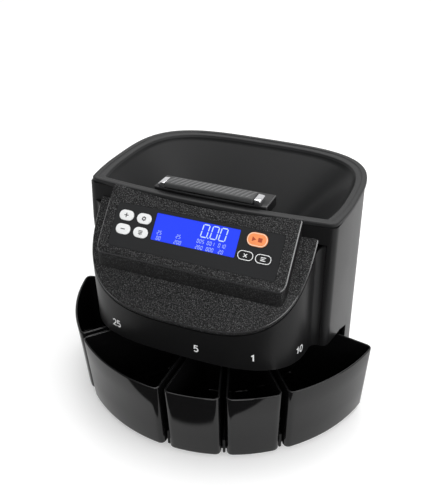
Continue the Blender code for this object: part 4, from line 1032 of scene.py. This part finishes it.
# Carry handle: a ribbed rubber grip on a sprung strap, whose ends slide up in two chromed caps on a platform.
# Slanting ribs cross the grip; the platform closes the front of the hopper.
grip_half, grip_front, grip_back, grip_low, grip_top = 47.5, -57.5, -40.5, 236.9, 243.4
grip_edge = 1.9
rib_pitch, rib_lean, rib_count = 5.36, 0.45, 17
rib_half_width, rib_height_over = 1.1, 0.6
strap_half, strap_reach, strap_low, strap_high = 53.6, 5.6, 237.6, 238.4
cap_inner, cap_outer, cap_half, cap_high, cap_end_high = 48.0, 54.8, 7.0, 241.7, 241.2
platform_half, platform_low, platform_top, platform_back = 61.0, 224.0, 235.3, -27.0
platform_front, platform_steps, platform_edge = 13.2, 24, 1.0
rib_inset, rib_rise, strap_edge, cap_edge = 0.6, 1.9, 0.3, 0.45
cap_shoulder, cap_bevel, pocket_rise = 1.2, 0.9, 2.0
grip_rubber = plastic("grip_rubber", (0.045, 0.046, 0.047), (0.5, 0.65), (1600.0, 0.2))
rib_rubber = plastic("rib_rubber", (0.12, 0.121, 0.123), (0.45, 0.6), (1600.0, 0.2))
rib_steps, rib_sides = 16, 14
rib_fade, rib_least = 6.0, 0.05


def rib_tree():
    """A row of half-sunk ribs across a bar, all leaning the same way, with fading ends."""
    tree = bpy.data.node_groups.new("leaning_ribs", "GeometryNodeTree")
    given, result = socketed(
        tree, {"Bar": "Geometry", "Count": "Int", "Pitch": "Float", "Half depth": "Float", "Lean": "Float",
               "Rib half width": "Float", "Rib height": "Float", "Finish": "Material"}, {"Mesh": "Geometry"})

    def worth(operation, first, second):
        return computed(tree, operation, first, second, clamp=False)

    def vector(x, y=0.0):
        return put(tree, "CombineXYZ", {"X": x, "Y": y}).outputs[0]

    depth = given["Half depth"]
    lean = worth("MULTIPLY", depth, given["Lean"])
    line = put(tree, "GeometryNodeCurvePrimitiveLine", {
        "Start": vector(worth("MULTIPLY", lean, -1.0), worth("MULTIPLY", depth, -1.0)),
        "End": vector(lean, depth)})
    fine = put(tree, "GeometryNodeResampleCurve", {"Curve": line.outputs[0], "Count": rib_steps})
    reach = put(tree, "GeometryNodeSplineParameter").outputs["Factor"]
    off = worth("ABSOLUTE", worth("MULTIPLY", worth("SUBTRACT", reach, 0.5), 2.0), 0.0)
    size = worth("MAXIMUM", worth("SUBTRACT", 1.0, worth("POWER", off, rib_fade)), rib_least)
    ring = put(tree, "GeometryNodeCurvePrimitiveCircle", {"Resolution": rib_sides, "Radius": 1.0})
    squash = put(tree, "GeometryNodeTransform", {
        "Geometry": ring.outputs[0], "Scale": vector(given["Rib half width"], given["Rib height"])})
    sweep = put(tree, "GeometryNodeCurveToMesh", {
        "Curve": fine.outputs[0], "Profile Curve": squash.outputs[0], "Scale": size, "Fill Caps": True})
    length = worth("MULTIPLY", worth("SUBTRACT", given["Count"], 1.0), given["Pitch"])
    row = put(tree, "GeometryNodeMeshLine", {
        "Count": given["Count"], "Start Location": vector(worth("MULTIPLY", length, -0.5)),
        "Offset": vector(given["Pitch"])})
    place = put(tree, "GeometryNodeInstanceOnPoints", {"Points": row.outputs[0], "Instance": sweep.outputs[0]})
    return made_real(tree, place, given["Finish"], result)


grip_middle = (grip_front + grip_back) / 2
grip = worked(block("grip", (-grip_half, grip_front, grip_low),
                    (grip_half, grip_back, grip_top - rib_height_over)), edge=grip_edge, edge_steps=5)
dress("grip", grip, grip_rubber, ["handle_grip"], "handle")
ribs = grown("grip_ribs", bpy.data.meshes.new("ribs"), rib_tree(), {
    "Count": rib_count, "Pitch": rib_pitch, "Half depth": (grip_back - grip_front) / 2 - rib_inset,
    "Lean": rib_lean, "Rib half width": rib_half_width, "Rib height": rib_height_over * rib_rise,
    "Finish": rib_rubber})
ribs.transform(Matrix.Translation((0, grip_middle, grip_top - rib_height_over * rib_rise)))
dress("grip_ribs", ribs, rib_rubber, body="handle", smooth=60)

streak_detail = 4.0
metal_tone_low, metal_tone_high = 0.82, 1.1
metal_depth, metal_bump = 0.0002, 0.05


def metal(name, colour, gloss, streak=(1, 1, 1), scale=400.0):
    """A metal whose gloss varies in streaks; streak is how much finer they are in each direction."""
    made, tree, place = blank(name)
    stretched = put(tree, "Mapping", {"Vector": place, "Scale": streak}).outputs[0]
    grain = noise(tree, stretched, scale, streak_detail)
    shade(tree, {"Metallic": 1.0, "Roughness": ranged(tree, grain, *gloss),
                 "Base Color": scaled(tree, colour, ranged(tree, grain, metal_tone_low, metal_tone_high)),
                 "Normal": bumped(tree, grain, metal_depth, metal_bump)})
    return made


chrome = metal("chrome", (0.82, 0.82, 0.84), (0.08, 0.16), scale=120.0)
steel = metal("steel", (0.52, 0.53, 0.55), (0.28, 0.42), (1, 8, 8))
strap = worked(block("strap", (-strap_half, grip_middle - strap_reach, strap_low),
                     (strap_half, grip_middle + strap_reach, strap_high)), edge=strap_edge, edge_steps=2)
dress("strap", strap, steel, ["handle_strap"], "handle")
for name, side in (("left", -1), ("right", 1)):
    profile = [(cap_inner, platform_top), (cap_outer, platform_top), (cap_outer, cap_end_high - cap_shoulder),
               (cap_outer - cap_bevel, cap_end_high), (cap_inner, cap_high)]
    cap = slab("cap", [profile], -cap_half, cap_half)
    cap.transform(Matrix(((1, 0, 0, 0), (0, 0, 1, grip_middle), (0, 1, 0, 0), (0, 0, 0, 1))))
    pocket = block("pocket", (cap_inner - overrun, grip_middle - strap_reach - touch, strap_low - touch),
                   (strap_half + touch, grip_middle + strap_reach + touch, strap_high + pocket_rise + touch))
    cap = worked(worked(cap, edge=cap_edge), cuts=[pocket])
    cap.transform(Matrix.Diagonal((side, 1, 1, 1)))
    if side < 0:
        cap.flip_normals()
    dress("cap_" + name, cap, chrome, ["handle_cap_" + name])
across = [platform_half * (2 * share - 1) for share in shares(platform_steps)]
front = [(x, front_edge(x, platform_front)) for x in across]
# Its bevels take the lighter edge finish, a painted highlight.
plate = worked(slab("platform", [front + [(platform_half, platform_back), (-platform_half, platform_back)]],
                    platform_low, platform_top), edge=platform_edge, edge_slot=1)
dress("platform", plate, housing_black, ["handle_platform"], edge_finish=housing_edge)

# Sorting deck and drive: an aluminium deck on four posts, the turned sorting plate inside a nylon guide ring, a
# nylon rotor on a steel spindle in bronze bushes, and a rubber belt from the motor's pulley.
aluminium = metal("aluminium", (0.62, 0.62, 0.64), (0.3, 0.45), (6, 1, 6), 300.0)
bronze = metal("bronze", (0.5, 0.34, 0.14), (0.25, 0.4), scale=500.0)
nylon = plastic("nylon", (0.55, 0.55, 0.53), (0.4, 0.55), (1200.0, 0.1))
rubber_belt = plastic("rubber_belt", (0.02, 0.02, 0.02), (0.6, 0.8), (2000.0, 0.4))
repaint(aluminium, "deck_plate", "post_front_left", "post_front_right", "post_back_left", "post_back_right",
        "sorting_plate", "feed_plate_left", "feed_plate_right")
repaint(bronze, "lower_bearing", "upper_bearing")
repaint(nylon, "guide_ring", "sorting_rotor", "spindle_pulley", "motor_pulley")
repaint(steel, "spindle", "main_motor", "feed_motor", "transformer", "display_module")
repaint(rubber_belt, "drive_belt", "feed_belt", "feed_roller_front", "feed_roller_back")
repaint(housing_black, "coin_sensor")

track_scale, track_width, track_height = 90.0, 0.03, 0.0001
board_gloss, board_shade = 0.35, 0.8


def board(name, green, copper):
    """Solder mask over copper tracks that run square to each other."""
    made, tree, place = blank(name)
    turned = put(tree, "Mapping", {"Vector": place, "Rotation": (math.pi / 2, 0, 0)})
    tracks = put(tree, "TexBrick", {
        "Vector": turned.outputs[0], "Scale": track_scale, "Mortar Size": track_width, "Color1": (*green, 1),
        "Color2": (*[c * board_shade for c in green], 1), "Mortar": (*copper, 1)}).outputs
    shade(tree, {"Roughness": board_gloss, "Base Color": tracks["Color"],
                 "Normal": bumped(tree, tracks["Fac"], track_height)})
    return made


board_green = board("board_green", (0.015, 0.13, 0.05), (0.05, 0.24, 0.09))
repaint(board_green, "main_board", "control_board")

# Rear panel: a brushed aluminium plate behind the body's opening, held by four screws, with the mains inlet and
# its three pins, the rocker switch with its on and off marks, and the slotted cap of the fuse.
panel_face = 101.0
socket_middle, socket_face = 41.0, 103.0
inlet_x, switch_x = 23.5, -11.5
socket_black = plastic("socket_black", (0.014, 0.014, 0.014), (0.35, 0.5), (1400.0, 0.15))
repaint(aluminium, "inlet_panel")
repaint(socket_black, "switch_frame", "fuse_holder", "power_inlet")


def from_behind(mesh, place=Matrix()):
    """Stands a flat piece up in the rear panel's plane, its upper side to the back, and then in its place."""
    mesh.transform(place @ Matrix(((-1, 0, 0, 0), (0, 0, 1, 0), (0, 1, 0, 0), (0, 0, 0, 1))))
    return mesh


def box_outline(x, z, width, height, corner):
    """An outline on the rear panel, as seen from the back, where x runs the other way."""
    return [(-x + px, py) for px, py in rounded_rectangle(width / 2, z - height / 2, z + height / 2, corner)]


pin_places, pin_size, pin_from, pin_to = ((-7.0, -1.3), (0.0, 1.3), (7.0, -1.3)), (1.8, 4.2, 0.4), 85.5, 100.0
throat_outside, throat_inside, throat_from, throat_sink = (25.6, 18.6, 1.5), (23.0, 15.6, 4.0), 90.0, 0.4
pins = slab("pins", [box_outline(inlet_x + px, socket_middle + pz, *pin_size) for px, pz in pin_places],
            pin_from, pin_to)
dress("inlet_pins", from_behind(pins), steel)
throat = slab("throat", [box_outline(inlet_x, socket_middle, *size) for size in (throat_outside, throat_inside)],
              throat_from, socket_face - throat_sink)
dress("inlet_throat", from_behind(throat), socket_black)

screw_radius, screw_rise = 2.7, 1.5
slot_reach, slot_half, slot_floor, slot_top = 1.9, 0.28, 0.75, 2
screw_head = bmesh.new()
bmesh.ops.create_uvsphere(screw_head, u_segments=24, v_segments=12, radius=1.0)
bmesh.ops.bisect_plane(screw_head, geom=screw_head.verts[:] + screw_head.edges[:] + screw_head.faces[:],
                       plane_co=(0, 0, 0), plane_no=(0, 0, -1), clear_outer=True)
bmesh.ops.scale(screw_head, vec=(screw_radius, screw_radius, screw_rise), verts=screw_head.verts)
bmesh.ops.holes_fill(screw_head, edges=screw_head.edges[:])
slots = [block("slot", (-x, -y, slot_floor), (x, y, slot_top))
         for x, y in ((slot_reach, slot_half), (slot_half, slot_reach))]
head = worked(finished(screw_head, "screw"), cuts=slots)
screw_places = [((x, z, panel_face), (0, 0, turn), (1, 1, 1))
                for x, z, turn in ((-40, 26, 0.3), (40, 26, 1.1), (-40, 56, 0.7), (40, 56, 0.1))]
screws = repeated("panel_screws", head, screw_places, steel)
dress("panel_screws", from_behind(screws), steel, smooth=40)

rocker_half, rocker_reach, rocker_pivot, rocker_face = 5.5, 7.6, 98.0, 104.0
rocker_tilt, rocker_hollow, rocker_keel, rocker_edge, rocker_steps = 8, 0.9, 1.5, 0.35, 12
rocker_rise = 2 * rocker_reach * math.tan(math.radians(rocker_tilt))
mark_height, mark_sink, mark_rise = 4.2, 0.3, 0.08


def rocker_y(share):
    """The rocker's hollow face, from its lower edge to its upper one."""
    return rocker_face - rocker_rise * (1 - share) - rocker_hollow * math.sin(math.pi * share)


profile = [(rocker_y(share), rocker_reach * (2 * share - 1)) for share in shares(rocker_steps)]
profile += [(rocker_pivot, rocker_reach), (rocker_pivot - rocker_keel, 0), (rocker_pivot, -rocker_reach)]
rocker = slab("rocker", [[(y, z + socket_middle) for y, z in profile]], switch_x - rocker_half,
              switch_x + rocker_half)
rocker.transform(from_side)
dress("rocker", worked(rocker, edge=rocker_edge, edge_angle=50), key_black, ["switch_rocker"],
      "power_rocker")
for name, outlines, z in (("mark_on", [bar(0, 0, 0.6, 3.0)], mark_height),
                          ("mark_off", [disc(1.7), disc(1.15)], -mark_height)):
    share = (z / rocker_reach + 1) / 2
    lean = math.atan2(rocker_rise - rocker_hollow * math.pi * math.cos(math.pi * share), 2 * rocker_reach)
    place = Matrix.Translation((switch_x, rocker_y(share), socket_middle + z)) @ Matrix.Rotation(-lean, 4, "X")
    dress(name, from_behind(slab("mark", outlines, -mark_sink, mark_rise), place), print_white,
          body="power_rocker")
